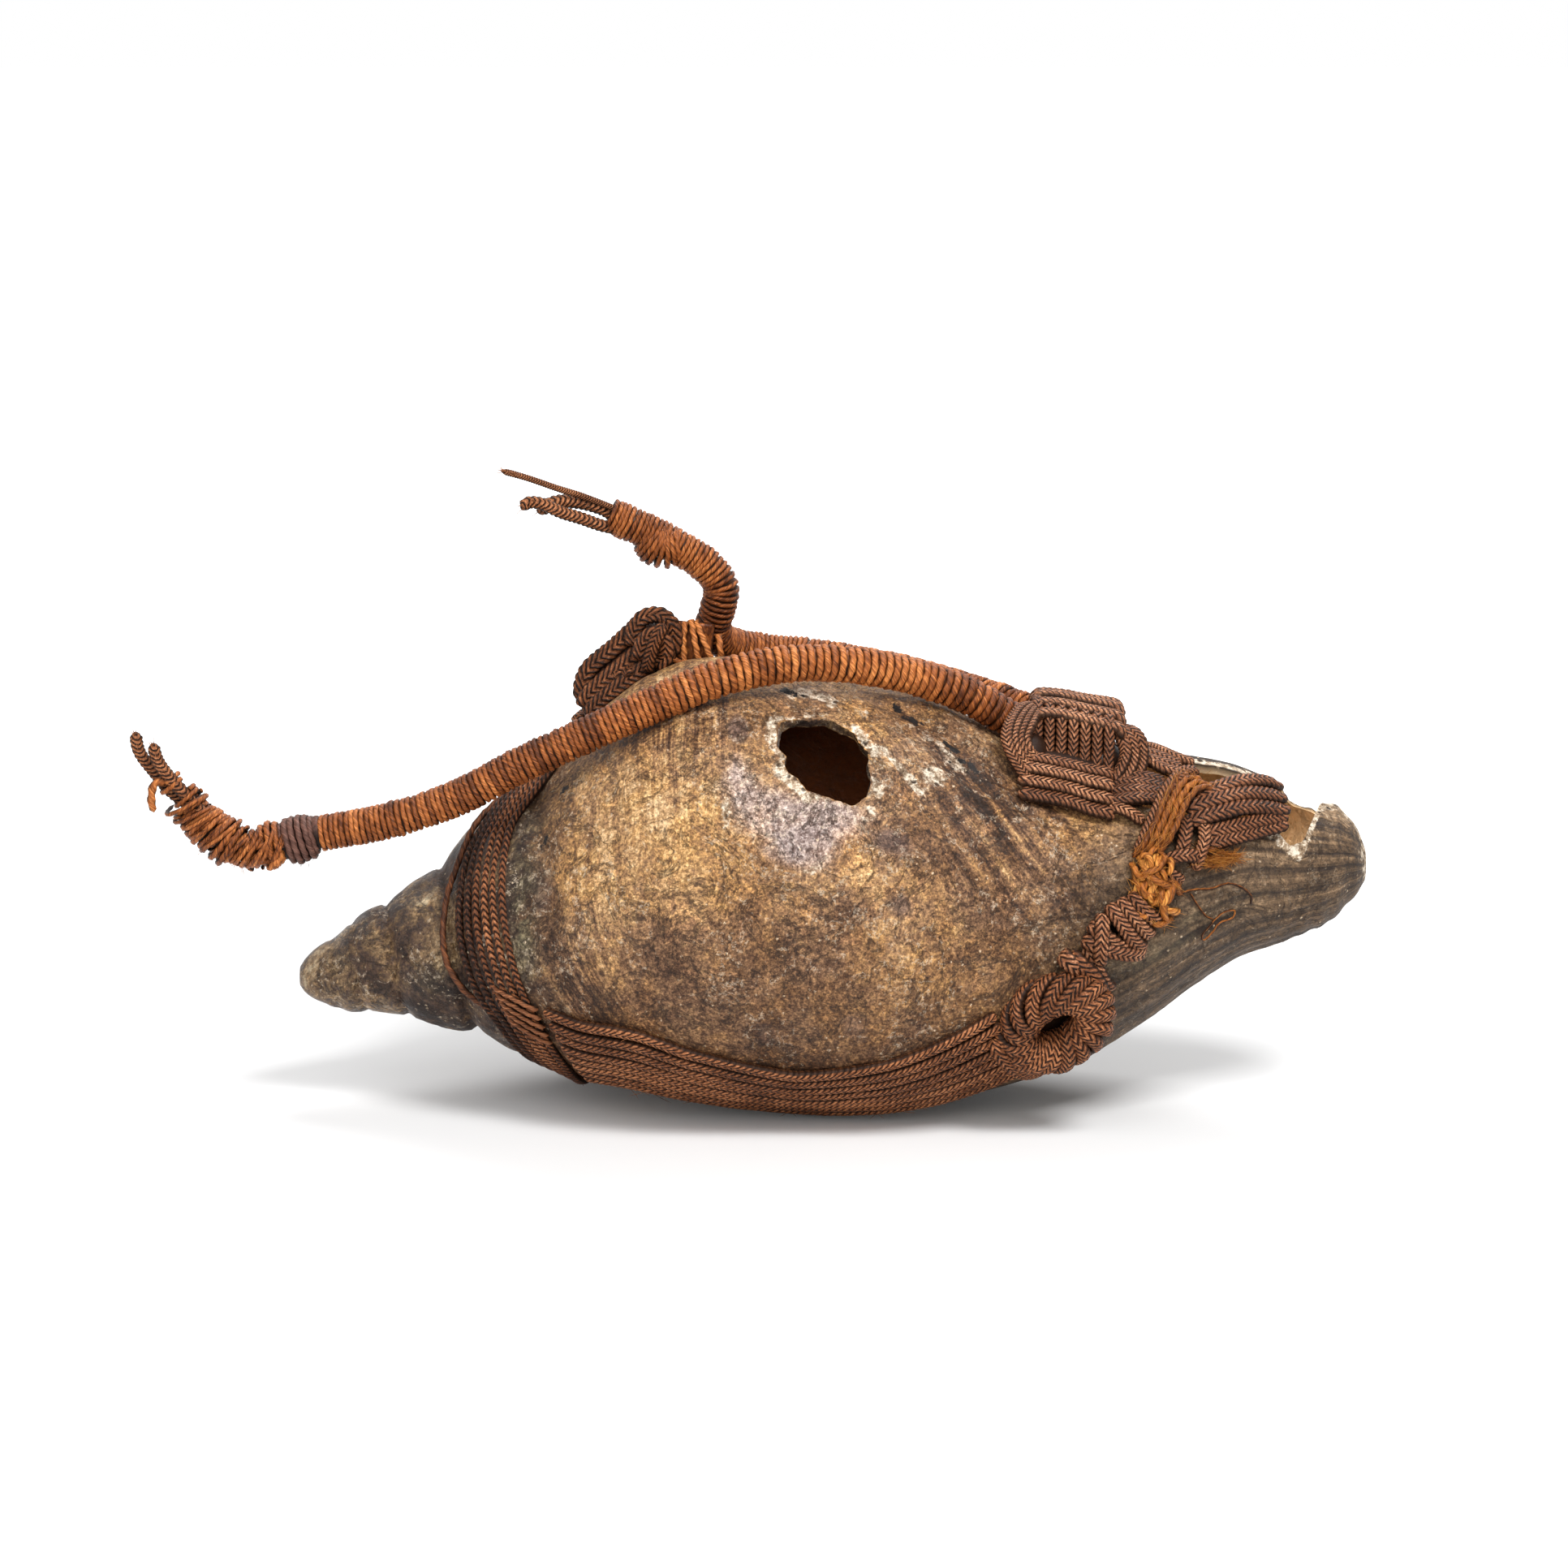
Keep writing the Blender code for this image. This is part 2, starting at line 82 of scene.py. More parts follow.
# The aperture's edges: distance from the apex, turn of the inner lip, turn of the outer lip.
APERTURE_FROM = 169.0
APERTURE = np.array([
    (169, 99, 99), (180, 95, 112), (191, 91, 125), (215, 89, 150),
    (232, 88.5, 158), (249, 87, 157), (270, 80, 150), (289, 68, 136),
    (302, 57, 120), (315, 48, 96), (322, 44.5, 85), (334, 41, 80),
    (351, 39, 79), (360, 37, 81), (363.5, 30, 86), (366.5, 25, 118),
    (370, 27, 134), (374, 46, 137), (380, 80, 140), (389, 96, 158),
    (396.3, 99, 190),
])
# Patches on the skin: weight, x in mm, turn, half length in mm, half width and lean in degrees.
PATCHES = {
    "lavender": ((1, -27, 31, 14, 8), (1, -9, 27, 15, 8), (0.7, -35, 41, 6, 7), (0.8, 4, 32, 12, 6),
                 (0.5, -12, 19, 14, 4)),
    "violet": ((1, -34, 54, 5, 6), (1, -10, 24, 14, 5), (0.9, 22, 27, 9, 5), (0.8, 24, 11, 7, 5),
               (0.7, -105, 20, 6, 14), (0.5, -24, -28, 9, 9), (0.6, 8, -24, 9, 8)),
    "umber": ((0.75, 5, 8, 9, 5), (0.6, -50, -8, 18, 13), (0.25, -100, 18, 9, 26),
              (0.9, 53, 46, 12, 8, -30), (0.6, -73, 63, 14, 7), (0.8, -76, -26, 12, 8),
              (0.75, 88, 16, 14, 12), (0.6, 186, 10, 14, 60), (0.5, 54, 2, 17, 12),
              (0.9, 50, 58, 26, 9, -20), (0.75, 62, 28, 30, 26)),
    "black": ((1, -18, 69, 6, 3), (0.95, 30, 71.5, 19, 2.4, -24), (0.8, -33, 79, 5, 3),
              (0.75, 47, 62, 9, 2, -34), (0.8, -103, 42, 1.4, 12, -20), (0.6, -96, 56, 3, 2.5),
              (0.5, 68, 6, 1.2, 1.6), (0.5, 48, 46, 3, 1.5), (0.5, 46, 58, 22, 1.6, -20),
              (0.35, 40, 66, 12, 2.2, -20)),
    "green": ((1, -112, 10, 5, 26), (0.5, -110, 44, 8, 8), (0.35, 120, -12, 26, 9),
              (0.4, -145, -11, 8, 10)),
    "ochre": ((1, -60, 26, 22, 24), (1, -152, 46, 8, 16), (0.7, -84, 4, 10, 30),
              (0.9, 19, 19, 13, 7), (0.8, 71, 19, 12, 12), (0.5, 14, 69, 9, 3)),
    "combed": ((1, -58, 62, 24, 36), (0.8, -88, -6, 13, 34)),
    "raked": ((1, 62, 42, 26, 26), (0.4, 84, 0, 14, 20)),
}
# Patches that a noise breaks up.
BROKEN_BLACK = ((0.8, 10, 72, 26, 3.6),)
CHALK = ((0.8, -38, 30, 2.5, 7), (0.8, -7, 70, 12, 3), (0.9, 26, 48, 2, 11, 48),
         (0.6, 44, 60, 11, 4, -30))
CHALK_BESIDE_HOLE = ((0.9, 37, 50, 6, 6),)
CHALK_ON_SHOULDER = ((0.8, 8, 68, 24, 4.5),)
CHALK_STREAKS = ((0.75, -9, 16.4, 13, 1.3, 17), (0.6, 54, 18, 2, 13, 50),
                 (0.45, -93, 8, 1, 22, -14), (0.375, -86, 58, 1.4, 14))
CHALK_ON_BELLY = ((0.5, 54, -18, 6, 7), (0.5, 3, -34, 7, 4))


# ---------------------------------------------------------------- numbers
def smooth_columns(table, x):
    """Columns of a table at x, on a curve that never overshoots its points."""
    xs = table[:, 0]
    step = np.diff(xs)
    out = []
    for column in table[:, 1:].T:
        slope = np.diff(column) / step
        tangent = np.zeros(len(xs))
        same = slope[1:] * slope[:-1] > 0
        w1, w2 = 2 * step[1:] + step[:-1], step[1:] + 2 * step[:-1]
        with np.errstate(divide="ignore", invalid="ignore"):
            mean = (w1 + w2) / (w1 / slope[:-1] + w2 / slope[1:])
        tangent[1:-1] = np.where(same, mean, 0.0)
        tangent[0], tangent[-1] = slope[0], slope[-1]
        k = np.clip(np.searchsorted(xs, x, side="right") - 1, 0, len(xs) - 2)
        h = step[k]
        t = np.clip((x - xs[k]) / h, 0.0, 1.0)
        out.append((2 * t**3 - 3 * t**2 + 1) * column[k] + (t**3 - 2 * t**2 + t) * h * tangent[k]
                   + (3 * t**2 - 2 * t**3) * column[k + 1] + (t**3 - t**2) * h * tangent[k + 1])
    return out


def hash_grid(cells, seed):
    """A repeatable value from 0 to 1 for each whole-numbered cell."""
    n = (cells[..., 0].astype(np.uint64) * np.uint64(73856093)
         ^ cells[..., 1].astype(np.uint64) * np.uint64(19349663)
         ^ cells[..., 2].astype(np.uint64) * np.uint64(83492791) ^ np.uint64(seed * 2654435761 % 2**31))
    n = (n ^ (n >> np.uint64(13))) * np.uint64(1274126177)
    n = (n ^ (n >> np.uint64(16))) & np.uint64(0xFFFFFF)
    return n.astype(float) / 0xFFFFFF


def noise(points, size, seed, octaves=3):
    """Smooth noise from -1 to 1 at the points, with features about size metres across."""
    total = np.zeros(len(points))
    strength = 0.0
    for octave in range(octaves):
        scaled = points / size * 2**octave + 1000.0 + 37.0 * octave
        base = np.floor(scaled)
        part = scaled - base
        part = part * part * (3 - 2 * part)
        value = np.zeros(len(points))
        for corner in range(8):
            offset = np.array([corner & 1, corner >> 1 & 1, corner >> 2 & 1])
            weight = np.prod(np.where(offset == 1, part, 1 - part), axis=1)
            value += weight * hash_grid(base + offset, seed + octave)
        total += (2 * value - 1) * 0.5**octave
        strength += 0.5**octave
    return total / strength


def step_between(low, high, value):
    """0 below low, 1 above high, smooth between."""
    t = np.clip((value - low) / (high - low), 0.0, 1.0)
    return t * t * (3 - 2 * t)


def section(x):
    """Height of the axis and radius of the shell at x from the middle, in metres."""
    height, radius = smooth_columns(PROFILE, (np.asarray(x, dtype=float) + SHELL_LENGTH / 2) / MM)
    return height * MM, radius * MM


def on_shell(x, turn, lift):
    """Points at x and turn (degrees), lift metres outside the shell, and the way out there."""
    height, radius = section(x)
    angle = np.radians(turn)
    out = np.stack([np.zeros_like(angle), -np.cos(angle), np.sin(angle)], axis=-1)
    place = out * (radius + lift)[..., None]
    place[..., 0] = x
    place[..., 2] += height
    return place, out


def curve_through(points, step=None, count=None):
    """Evenly spaced points on a Catmull-Rom curve through the given points."""
    pts = [np.array(p, dtype=float) for p in points]
    pts = [2 * pts[0] - pts[1]] + pts + [2 * pts[-1] - pts[-2]]
    dense = []
    t = np.linspace(0.0, 1.0, 40, endpoint=False)[:, None]
    for a, b, c, d in zip(pts, pts[1:], pts[2:], pts[3:]):
        dense.append(0.5 * (2 * b + (c - a) * t + (2 * a - 5 * b + 4 * c - d) * t * t
                            + (3 * b - a - 3 * c + d) * t**3))
    dense = np.vstack(dense + [pts[-2][None, :]])
    run = np.concatenate([[0.0], np.cumsum(np.linalg.norm(np.diff(dense[:, :3], axis=0), axis=1))])
    count = count or max(int(run[-1] / step) + 1, 3)
    even = np.linspace(0.0, run[-1], count)
    return np.stack([np.interp(even, run, dense[:, k]) for k in range(dense.shape[1])], axis=1)


def unit(v):
    """Rows scaled to length 1."""
    return v / np.maximum(np.linalg.norm(v, axis=-1, keepdims=True), 1e-12)


def frames(path, up=None):
    """Tangent, side and normal along a path. up is a direction, or one for each point;
    with none, the normal turns as little as it can."""
    tangent = unit(np.gradient(path, axis=0))
    if up is None:
        normal = np.zeros_like(path)
        start = np.array([0.0, 0.0, 1.0])
        if abs(tangent[0] @ start) > 0.9:
            start = np.array([0.0, 1.0, 0.0])
        normal[0] = start
        for k in range(len(path)):
            last = normal[max(k - 1, 0)]
            here = last - tangent[k] * (last @ tangent[k])
            normal[k] = here / np.linalg.norm(here)
    else:
        up = np.broadcast_to(np.asarray(up, dtype=float), path.shape)
        normal = unit(up - tangent * np.sum(up * tangent, axis=1, keepdims=True))
    return tangent, np.cross(tangent, normal), normal

# ---------------------------------------------------------------- meshes
class Batch:
    """Vertices, faces and vertex numbers gathered for one mesh."""

    def __init__(self):
        self.vertices, self.quads, self.fans, self.fields, self.count = [], [], [], {}, 0

    def grid(self, points, closed, caps=False, **fields):
        """A strip of quads over points[n, m, 3], joined round the m side when closed."""
        n, m = points.shape[:2]
        index = self.count + np.arange(n * m).reshape(n, m)
        right = np.roll(index, -1, axis=1) if closed else index[:, 1:]
        left = index if closed else index[:, :-1]
        quads = np.stack([left[:-1], right[:-1], right[1:], left[1:]], axis=-1).reshape(-1, 4)
        self.quads.append(quads)
        if caps:
            self.fans += [index[0, ::-1].tolist(), index[-1].tolist()]
        self.vertices.append(points.reshape(-1, 3))
        for key in set(self.fields) | set(fields):
            value = np.broadcast_to(fields.get(key, 0.0), (n, m)).reshape(-1)
            self.fields.setdefault(key, [np.zeros(self.count)] if self.count else [])
            self.fields[key].append(np.array(value, dtype=float))
        self.count += n * m
        return index

    def build(self, name, finish):
        """The mesh object, riding on the root body."""
        quads = np.vstack(self.quads) if self.quads else np.zeros((0, 4), int)
        mesh = bpy.data.meshes.new(name)
        fan_sizes = [len(f) for f in self.fans]
        corners = np.concatenate([quads.ravel()] + [np.array(f) for f in self.fans]).astype(np.int32)
        sizes = np.concatenate([np.full(len(quads), 4), np.array(fan_sizes, dtype=int)]).astype(int)
        mesh.vertices.add(self.count)
        mesh.vertices.foreach_set("co", np.vstack(self.vertices).astype(np.float32).ravel())
        mesh.loops.add(len(corners))
        mesh.loops.foreach_set("vertex_index", corners)
        mesh.polygons.add(len(sizes))
        starts = np.concatenate([[0], np.cumsum(sizes)[:-1]]).astype(np.int32)
        mesh.polygons.foreach_set("loop_start", starts)
        mesh.update(calc_edges=True)
        mesh.validate()
        for key, parts in self.fields.items():
            attribute = mesh.attributes.new(key, "FLOAT", "POINT")
            attribute.data.foreach_set("value", np.concatenate(parts).astype(np.float32))
        mesh.shade_smooth()
        mesh.materials.append(finish)
        piece = bpy.data.objects.new(name, mesh)
        bpy.context.scene.collection.objects.link(piece)
        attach(piece, "root")
        return piece


# ---------------------------------------------------------------- the shell's shape
def whorl_phase(distance, turn):
    """How many whorls lie between the apex's logarithmic spiral and this place; it grows
    by one for each suture crossed towards the canal."""
    wound = (90.0 - turn) / 360.0
    return np.log(np.maximum(distance, 1.0) / TOP_SUTURE) / math.log(WHORL_GROWTH) - wound


def blob(x, turn, at_x, at_turn, long, wide, lean=0.0):
    """A soft patch, 1 in the middle; long and at_x in mm, at_turn and wide in degrees."""
    dx = x / MM - at_x
    dt = (turn - at_turn + 180.0) % 360.0 - 180.0
    c, s = math.cos(math.radians(lean)), math.sin(math.radians(lean))
    along, across = dx * c + dt * s, dt * c - dx * s
    return np.exp(-((along / long) ** 2 + (across / wide) ** 2))


def hole_frame():
    """The blow hole's middle, the way out of the shell there and the way up across it."""
    centre, out = on_shell(np.array([HOLE_X]), np.array([HOLE_TURN]), 0.0)
    turn = math.radians(HOLE_TURN)
    return centre[0], out[0], np.array([0.0, math.sin(turn), math.cos(turn)])


def hole_outline(angle):
    """Radius of the broken blow hole in each direction: it reaches furthest down to the right
    and up to the left."""
    degrees = np.degrees(angle) % 360.0
    oval = 0.09 * np.cos(2 * np.radians(degrees - 128.0))
    shape = HOLE_RADIUS * (1 + oval + 0.03 * np.sin(9 * angle))
    for towards, wide, more in HOLE_BULGES:
        shape = shape + more * MM * np.exp(-((degrees - towards) / wide) ** 2)
    return shape


def hole_distance(points):
    """Distance from the blow hole's middle across the wall, as a share of its radius; more
    than 10 on the far side of the shell."""
    centre, out, up = hole_frame()
    rel = points - centre
    side, rise = rel[:, 0], rel @ up
    beyond = (rel @ out <= -0.03).astype(float)
    return np.hypot(side, rise) / hole_outline(np.arctan2(rise, side)) + 10 * beyond


def whorl_relief(distance, saw, points, fine):
    """Sunken sutures and rounded whorls of the spire, and the skin's lumps, in metres."""
    spire = 1 - step_between(70.0, 112.0, distance)
    shoulder = np.exp(-(saw / 0.10) ** 2) + np.exp(-((1 - saw) / 0.05) ** 2)
    size = np.clip(distance / 80.0, 0.12, 1.0)
    return [-3.0 * MM * shoulder * spire * fine * size,
            2.3 * MM * np.sin(math.pi * np.clip(saw, 0, 1)) * spire * fine * size,
            0.62 * MM * noise(points, 13 * MM, 11, 2) * (0.4 + 1.5 * spire) * fine,
            0.5 * MM * noise(points, 6 * MM, 12, 2) * spire * fine]


def growth_relief(distance, turn, x, phase, saw, canal, points):
    """Spiral ridges, the fold below the suture, the fan by the lip and the canal's lanes."""
    body = step_between(80.0, 120.0, distance) * (1 - step_between(270.0, 330.0, distance))
    ridges = np.sin(2 * math.pi * phase * 13.0 + 0.6 * noise(points, 25 * MM, 5, 1))
    fold = np.exp(-(((saw - 0.12) / 0.020)) ** 2) * (1 - step_between(118.0, 150.0, distance))
    fan = np.sin(2 * math.pi * (turn / 7.5 + 0.35 * x / (10 * MM)) + 1.2 * noise(points, 30 * MM, 9, 1))
    lanes = np.sin(2 * math.pi * (turn / 16.0 + 0.8 * noise(points, 70 * MM, 21, 1)))
    return [0.16 * MM * ridges * body * (0.5 + 0.5 * noise(points, 60 * MM, 3, 1)),
            0.6 * MM * fold * step_between(85.0, 100.0, distance),
            0.45 * MM * fan * blob(x, turn, 62.0, 52.0, 34.0, 34.0),
            0.22 * MM * lanes * canal * (1 - step_between(365.0, 392.0, distance)),
            0.9 * MM * noise(points, 30 * MM, 31, 2) * canal]


def worn_relief(distance, turn, x, canal, points, fine):
    """Grain, pits, the torn shoulder behind the blow hole and the canal's folded rim."""
    pits = noise(points, 4.5 * MM, 51, 2)
    folds = np.sin(2 * math.pi * (distance / 6.5 + 0.5 * noise(points, 20 * MM, 33, 2)))
    rim = step_between(352.0, 386.0, distance)
    torn = blob(x, turn, 40.0, 76.0, 26.0, 6.0, lean=-16.0)
    return [0.14 * MM * noise(points, 3.2 * MM, 41, 2) * fine,
            -0.5 * MM * step_between(0.35, 0.7, pits) * (0.35 + 0.65 * canal) * fine,
            -1.6 * MM * blob(x, turn, 22.0, 73.0, 26.0, 3.2, lean=-14.0),
            3.4 * MM * blob(x, turn, 42.0, 84.0, 26.0, 12.0, lean=-12.0),
            1.6 * MM * torn * noise(points, 7 * MM, 35, 3),
            -1.8 * MM * blob(x, turn, 48.0, 56.0, 24.0, 3.0, lean=-20.0),
            (1.6 * step_between(372.0, 388.0, distance) + 0.4 * folds) * MM * rim]


def hole_wear(points, ring):
    """Height of the crust round the blow hole, in metres."""
    crust = noise(points, 2.4 * MM, 71, 3)
    beside = np.exp(-((ring - 1.0) / 0.30) ** 2)
    return beside * (0.9 * crust - 0.3 - 1.3 * step_between(0.10, 0.5, crust)) * MM


def surface_relief(distance, turn, points, ring):
    """Height of the shell's relief in metres at each vertex of the outer skin."""
    x = distance * MM - SHELL_LENGTH / 2
    phase = whorl_phase(distance, turn)
    saw = phase - np.floor(phase)
    canal = step_between(250.0, 310.0, distance)
    fine = step_between(2.0, 12.0, distance)
    return sum(whorl_relief(distance, saw, points, fine)
               + growth_relief(distance, turn, x, phase, saw, canal, points)
               + worn_relief(distance, turn, x, canal, points, fine) + [hole_wear(points, ring)])


def lip_band(distance, turn):
    """Nearness to the aperture's edges: 1 at an edge and 0 from 9 mm away."""
    inner_lip, outer_lip = smooth_columns(APERTURE, distance)
    radius = smooth_columns(PROFILE, distance)[1]
    below_inner = np.radians(inner_lip - turn) * radius
    beyond_outer = np.radians((turn + 360.0 - outer_lip) % 360.0) * radius
    near = np.minimum(np.abs(below_inner), np.abs(beyond_outer))
    return (1 - step_between(0.5, 9.0, near)) * step_between(165.0, 185.0, distance)


def shell_stations():
    """Distances of the stations from the apex, and the first one inside the aperture."""
    even = np.linspace(0.0, 1.0, STATIONS)
    share = 0.9 * even + 0.1 * np.sin(even * math.pi / 2)
    distance = OUTER_FROM + (PROFILE[-1, 0] - OUTER_FROM) * share
    first = int(np.searchsorted(distance, APERTURE_FROM))
    distance[first - 1] = APERTURE_FROM
    return distance, first


def chipped_lips(distance):
    """Turns of the inner and outer lip at each station, chipped towards the canal."""
    inner_lip, outer_lip = smooth_columns(APERTURE, np.maximum(distance, APERTURE_FROM))
    along = np.stack([distance * MM, 0 * distance, 0 * distance], axis=1)
    worn = step_between(300.0, 350.0, distance)
    inner_chips = worn * (3.0 * noise(along, 9 * MM, 61, 3))
    outer_chips = worn * (2.5 * noise(along, 6 * MM, 62, 3))
    return (inner_lip + inner_chips * step_between(60, 20, np.abs(distance - 352)),
            outer_lip + outer_chips * (1 - step_between(388, 395, distance)))


def skin(distance, turn, radius, height):
    """Points of a skin at each station and turn; distance, radius and height in mm."""
    angle = np.radians(turn)
    reach = (radius * MM)[:, None]
    return np.stack([np.broadcast_to((distance * MM - SHELL_LENGTH / 2)[:, None], turn.shape),
                     -np.cos(angle) * reach, (height * MM)[:, None] + np.sin(angle) * reach],
                    axis=-1)


def inner_skin(distance, turn, radius, height):
    """Points of the inner skin: the wall thins towards the canal and the apex."""
    wall = (WALL + (WALL_AT_CANAL - WALL) * step_between(300.0, 396.0, distance)) / MM
    inner_radius = np.maximum(radius - np.minimum(wall, 0.55 * radius + 0.1), 0.15)
    return skin(distance, turn, inner_radius, height)


def join_skins(batch, outer, inner, first, start):
    """Faces along both lips and round the canal's end, and a cap on each skin at the apex."""
    for i in range(first - 1, STATIONS - 1):
        for column, near in ((0, 0), (COLUMNS, INNER_COLUMNS)):
            row = i - start
            batch.fans.append([outer[i, column], outer[i + 1, column],
                               inner[row + 1, near], inner[row, near]])
    for k in range(INNER_COLUMNS):
        edge = outer[-1, k * FAN:(k + 1) * FAN + 1].tolist()
        batch.fans.append(edge + [inner[-1, k + 1], inner[-1, k]])
    batch.fans += [outer[0, :-1].tolist(), inner[0, :-1].tolist()]


def build_shell(finish):
    """One mesh: the outer skin with its relief, the inner skin, the lips and the canal's end."""
    distance, first = shell_stations()
    height, radius = smooth_columns(PROFILE, distance)
    inner_lip, outer_lip = chipped_lips(distance)
    span = 360.0 - (outer_lip - inner_lip)
    turn = inner_lip[:, None] - span[:, None] * np.linspace(0.0, 1.0, COLUMNS + 1)[None, :]
    flat = skin(distance, turn, radius, height).reshape(-1, 3)
    flat_distance, flat_turn = np.repeat(distance, COLUMNS + 1), turn.ravel()
    angle = np.radians(flat_turn)
    out = np.stack([np.zeros(turn.size), -np.cos(angle), np.sin(angle)], axis=1)
    ring = hole_distance(flat)
    outer = flat + out * surface_relief(flat_distance, flat_turn, flat, ring)[:, None]
    outer[:, 2] = np.maximum(outer[:, 2], FOOT_CLEARANCE)
    outer = outer.reshape(turn.shape + (3,))
    outer[:first, -1] = outer[:first, 0]
    masks = shell_masks(flat_distance, flat_turn, flat, ring)

    batch = Batch()
    outer_index = batch.grid(outer, closed=False,
                             **{kind: mask.reshape(turn.shape) for kind, mask in masks.items()})
    start = int(np.searchsorted(distance, INNER_FROM))
    inner = inner_skin(distance, turn[:, ::FAN], radius, height)[start:]
    inner_index = batch.grid(inner, closed=False, inside=np.ones(inner.shape[:2]))
    join_skins(batch, outer_index, inner_index, first, start)
    shell = batch.build("shell_skin", finish)
    weld_and_orient(shell)
    cut_hole(shell, finish)
    return shell


def weld_and_orient(piece):
    """Join coincident vertices and turn the faces outwards."""
    shape = bmesh.new()
    shape.from_mesh(piece.data)
    bmesh.ops.remove_doubles(shape, verts=shape.verts, dist=1e-6)
    bmesh.ops.recalc_face_normals(shape, faces=shape.faces)
    for face in shape.faces:
        face.smooth = True
    shape.to_mesh(piece.data)
    shape.free()


def hole_cutter(finish):
    """A rough-sided plug in the blow hole's outline, wider outside the wall than inside."""
    centre, out, up = hole_frame()
    angle = np.linspace(0, 2 * math.pi, 120, endpoint=False)
    ring = np.stack([np.cos(angle), np.sin(angle)], axis=1) * hole_outline(angle)[:, None]
    rows = []
    for reach in np.linspace(-12 * MM, 9 * MM, 22):
        middle = centre + out * reach
        points = middle + ring[:, :1] * np.array([1.0, 0, 0]) + ring[:, 1:] * up
        rough = noise(points, 2.6 * MM, 81, 3) * 1.3 * MM + 0.5 * MM * noise(points, 8 * MM, 82, 1)
        widen = 0.9 * MM * step_between(-2 * MM, 3 * MM, reach)
        scale = 1 + (rough + widen) / HOLE_RADIUS
        rows.append(middle + (points - centre - out * reach) * scale[:, None])
    batch = Batch()
    batch.grid(np.array(rows), closed=True, caps=True)
    cutter = batch.build("hole_cutter", finish)
    weld_and_orient(cutter)
    return cutter


def cut_hole(shell, finish):
    """Break the ragged blow hole through the wall."""
    cutter = hole_cutter(finish)
    cut = shell.modifiers.new("hole", "BOOLEAN")
    cut.operation, cut.solver, cut.object = "DIFFERENCE", "EXACT", cutter
    bpy.context.view_layer.objects.active = shell
    with bpy.context.temp_override(object=shell, active_object=shell, selected_objects=[shell]):
        bpy.ops.object.modifier_apply(modifier=cut.name)
    bpy.data.objects.remove(cutter, do_unlink=True)
    shell.data.shade_smooth()
    shell.data.set_sharp_from_angle(angle=SHARP_EDGE)


def patches(table, x, turn):
    """The sum of a table's patches."""
    return sum(weight * blob(x, turn, *shape) for weight, *shape in table)


def chalk_mask(distance, x, turn, points, ring, mottle):
    """Chalky wear round the blow hole, on the lips and the canal, in patches and streaks."""
    crust = step_between(-0.55, 0.35, noise(points, 9 * MM, 97, 3))
    chalk = np.exp(-((ring - 1.10) / 0.25) ** 2) * crust
    chalk += 1.4 * lip_band(distance, turn) * step_between(300.0, 340.0, distance)
    chalk += 0.6 * step_between(391.5, 396.0, distance + 3 * mottle)
    shoulder = step_between(-0.1, 0.3, noise(points, 8 * MM, 95, 3))
    streaks = step_between(-0.35, 0.1, noise(points, 7 * MM, 93, 2))
    for table, broken in ((CHALK, 1.0), (CHALK_BESIDE_HOLE, step_between(-0.2, 0.2, mottle)),
                          (CHALK_ON_SHOULDER, shoulder), (CHALK_STREAKS, streaks),
                          (CHALK_ON_BELLY, step_between(-0.1, 0.4, mottle))):
        chalk += patches(table, x, turn) * broken
    return chalk


def shell_masks(distance, turn, points, ring):
    """Where each kind of wear and colour lies: numbers on the vertices, from 0 to 1 but for
    the places of the combing, the raking and the lanes."""
    x = distance * MM - SHELL_LENGTH / 2
    mottle = noise(points, 16 * MM, 91, 3)
    broad = noise(points, 45 * MM, 92, 3)
    masks = {kind: patches(table, x, turn) for kind, table in PATCHES.items()}
    masks["chalk"] = chalk_mask(distance, x, turn, points, ring, mottle)
    # Darker towards the underside and round the back: umber skin, partly painted shade.
    masks["umber"] += 0.75 * step_between(12.0, -40.0, turn + 16 * broad)
    masks["umber"] += 0.6 * step_between(95.0, 140.0, np.abs(turn))
    # Near-black patches, most of them along the sunken grooves and crevices: partly painted shade.
    broken = step_between(0.0, 0.3, noise(points, 5 * MM, 96, 3))
    masks["black"] += patches(BROKEN_BLACK, x, turn) * broken
    masks["black"] *= step_between(-0.22, 0.30, noise(points, 4 * MM, 94, 3))
    masks = {kind: np.clip(mask, 0, 1) for kind, mask in masks.items()}
    masks["canal"] = step_between(262.0, 318.0, distance + 14 * broad + 0.55 * (20 - turn))
    masks["spire"] = 1 - step_between(84.0, 104.0, distance + 8 * mottle)
    masks["inside"] = np.zeros(len(points))
    masks["lanes"] = turn / 360.0
    sweep = 52.0 * np.clip((18.0 - turn) / 78.0, 0.0, 1.6) ** 1.7
    masks["comb_at"] = x / MM - sweep + 2.5 * broad
    masks["rake_at"] = turn + 1.05 * (x / MM - 38.0) + 5.0 * broad
    return masks


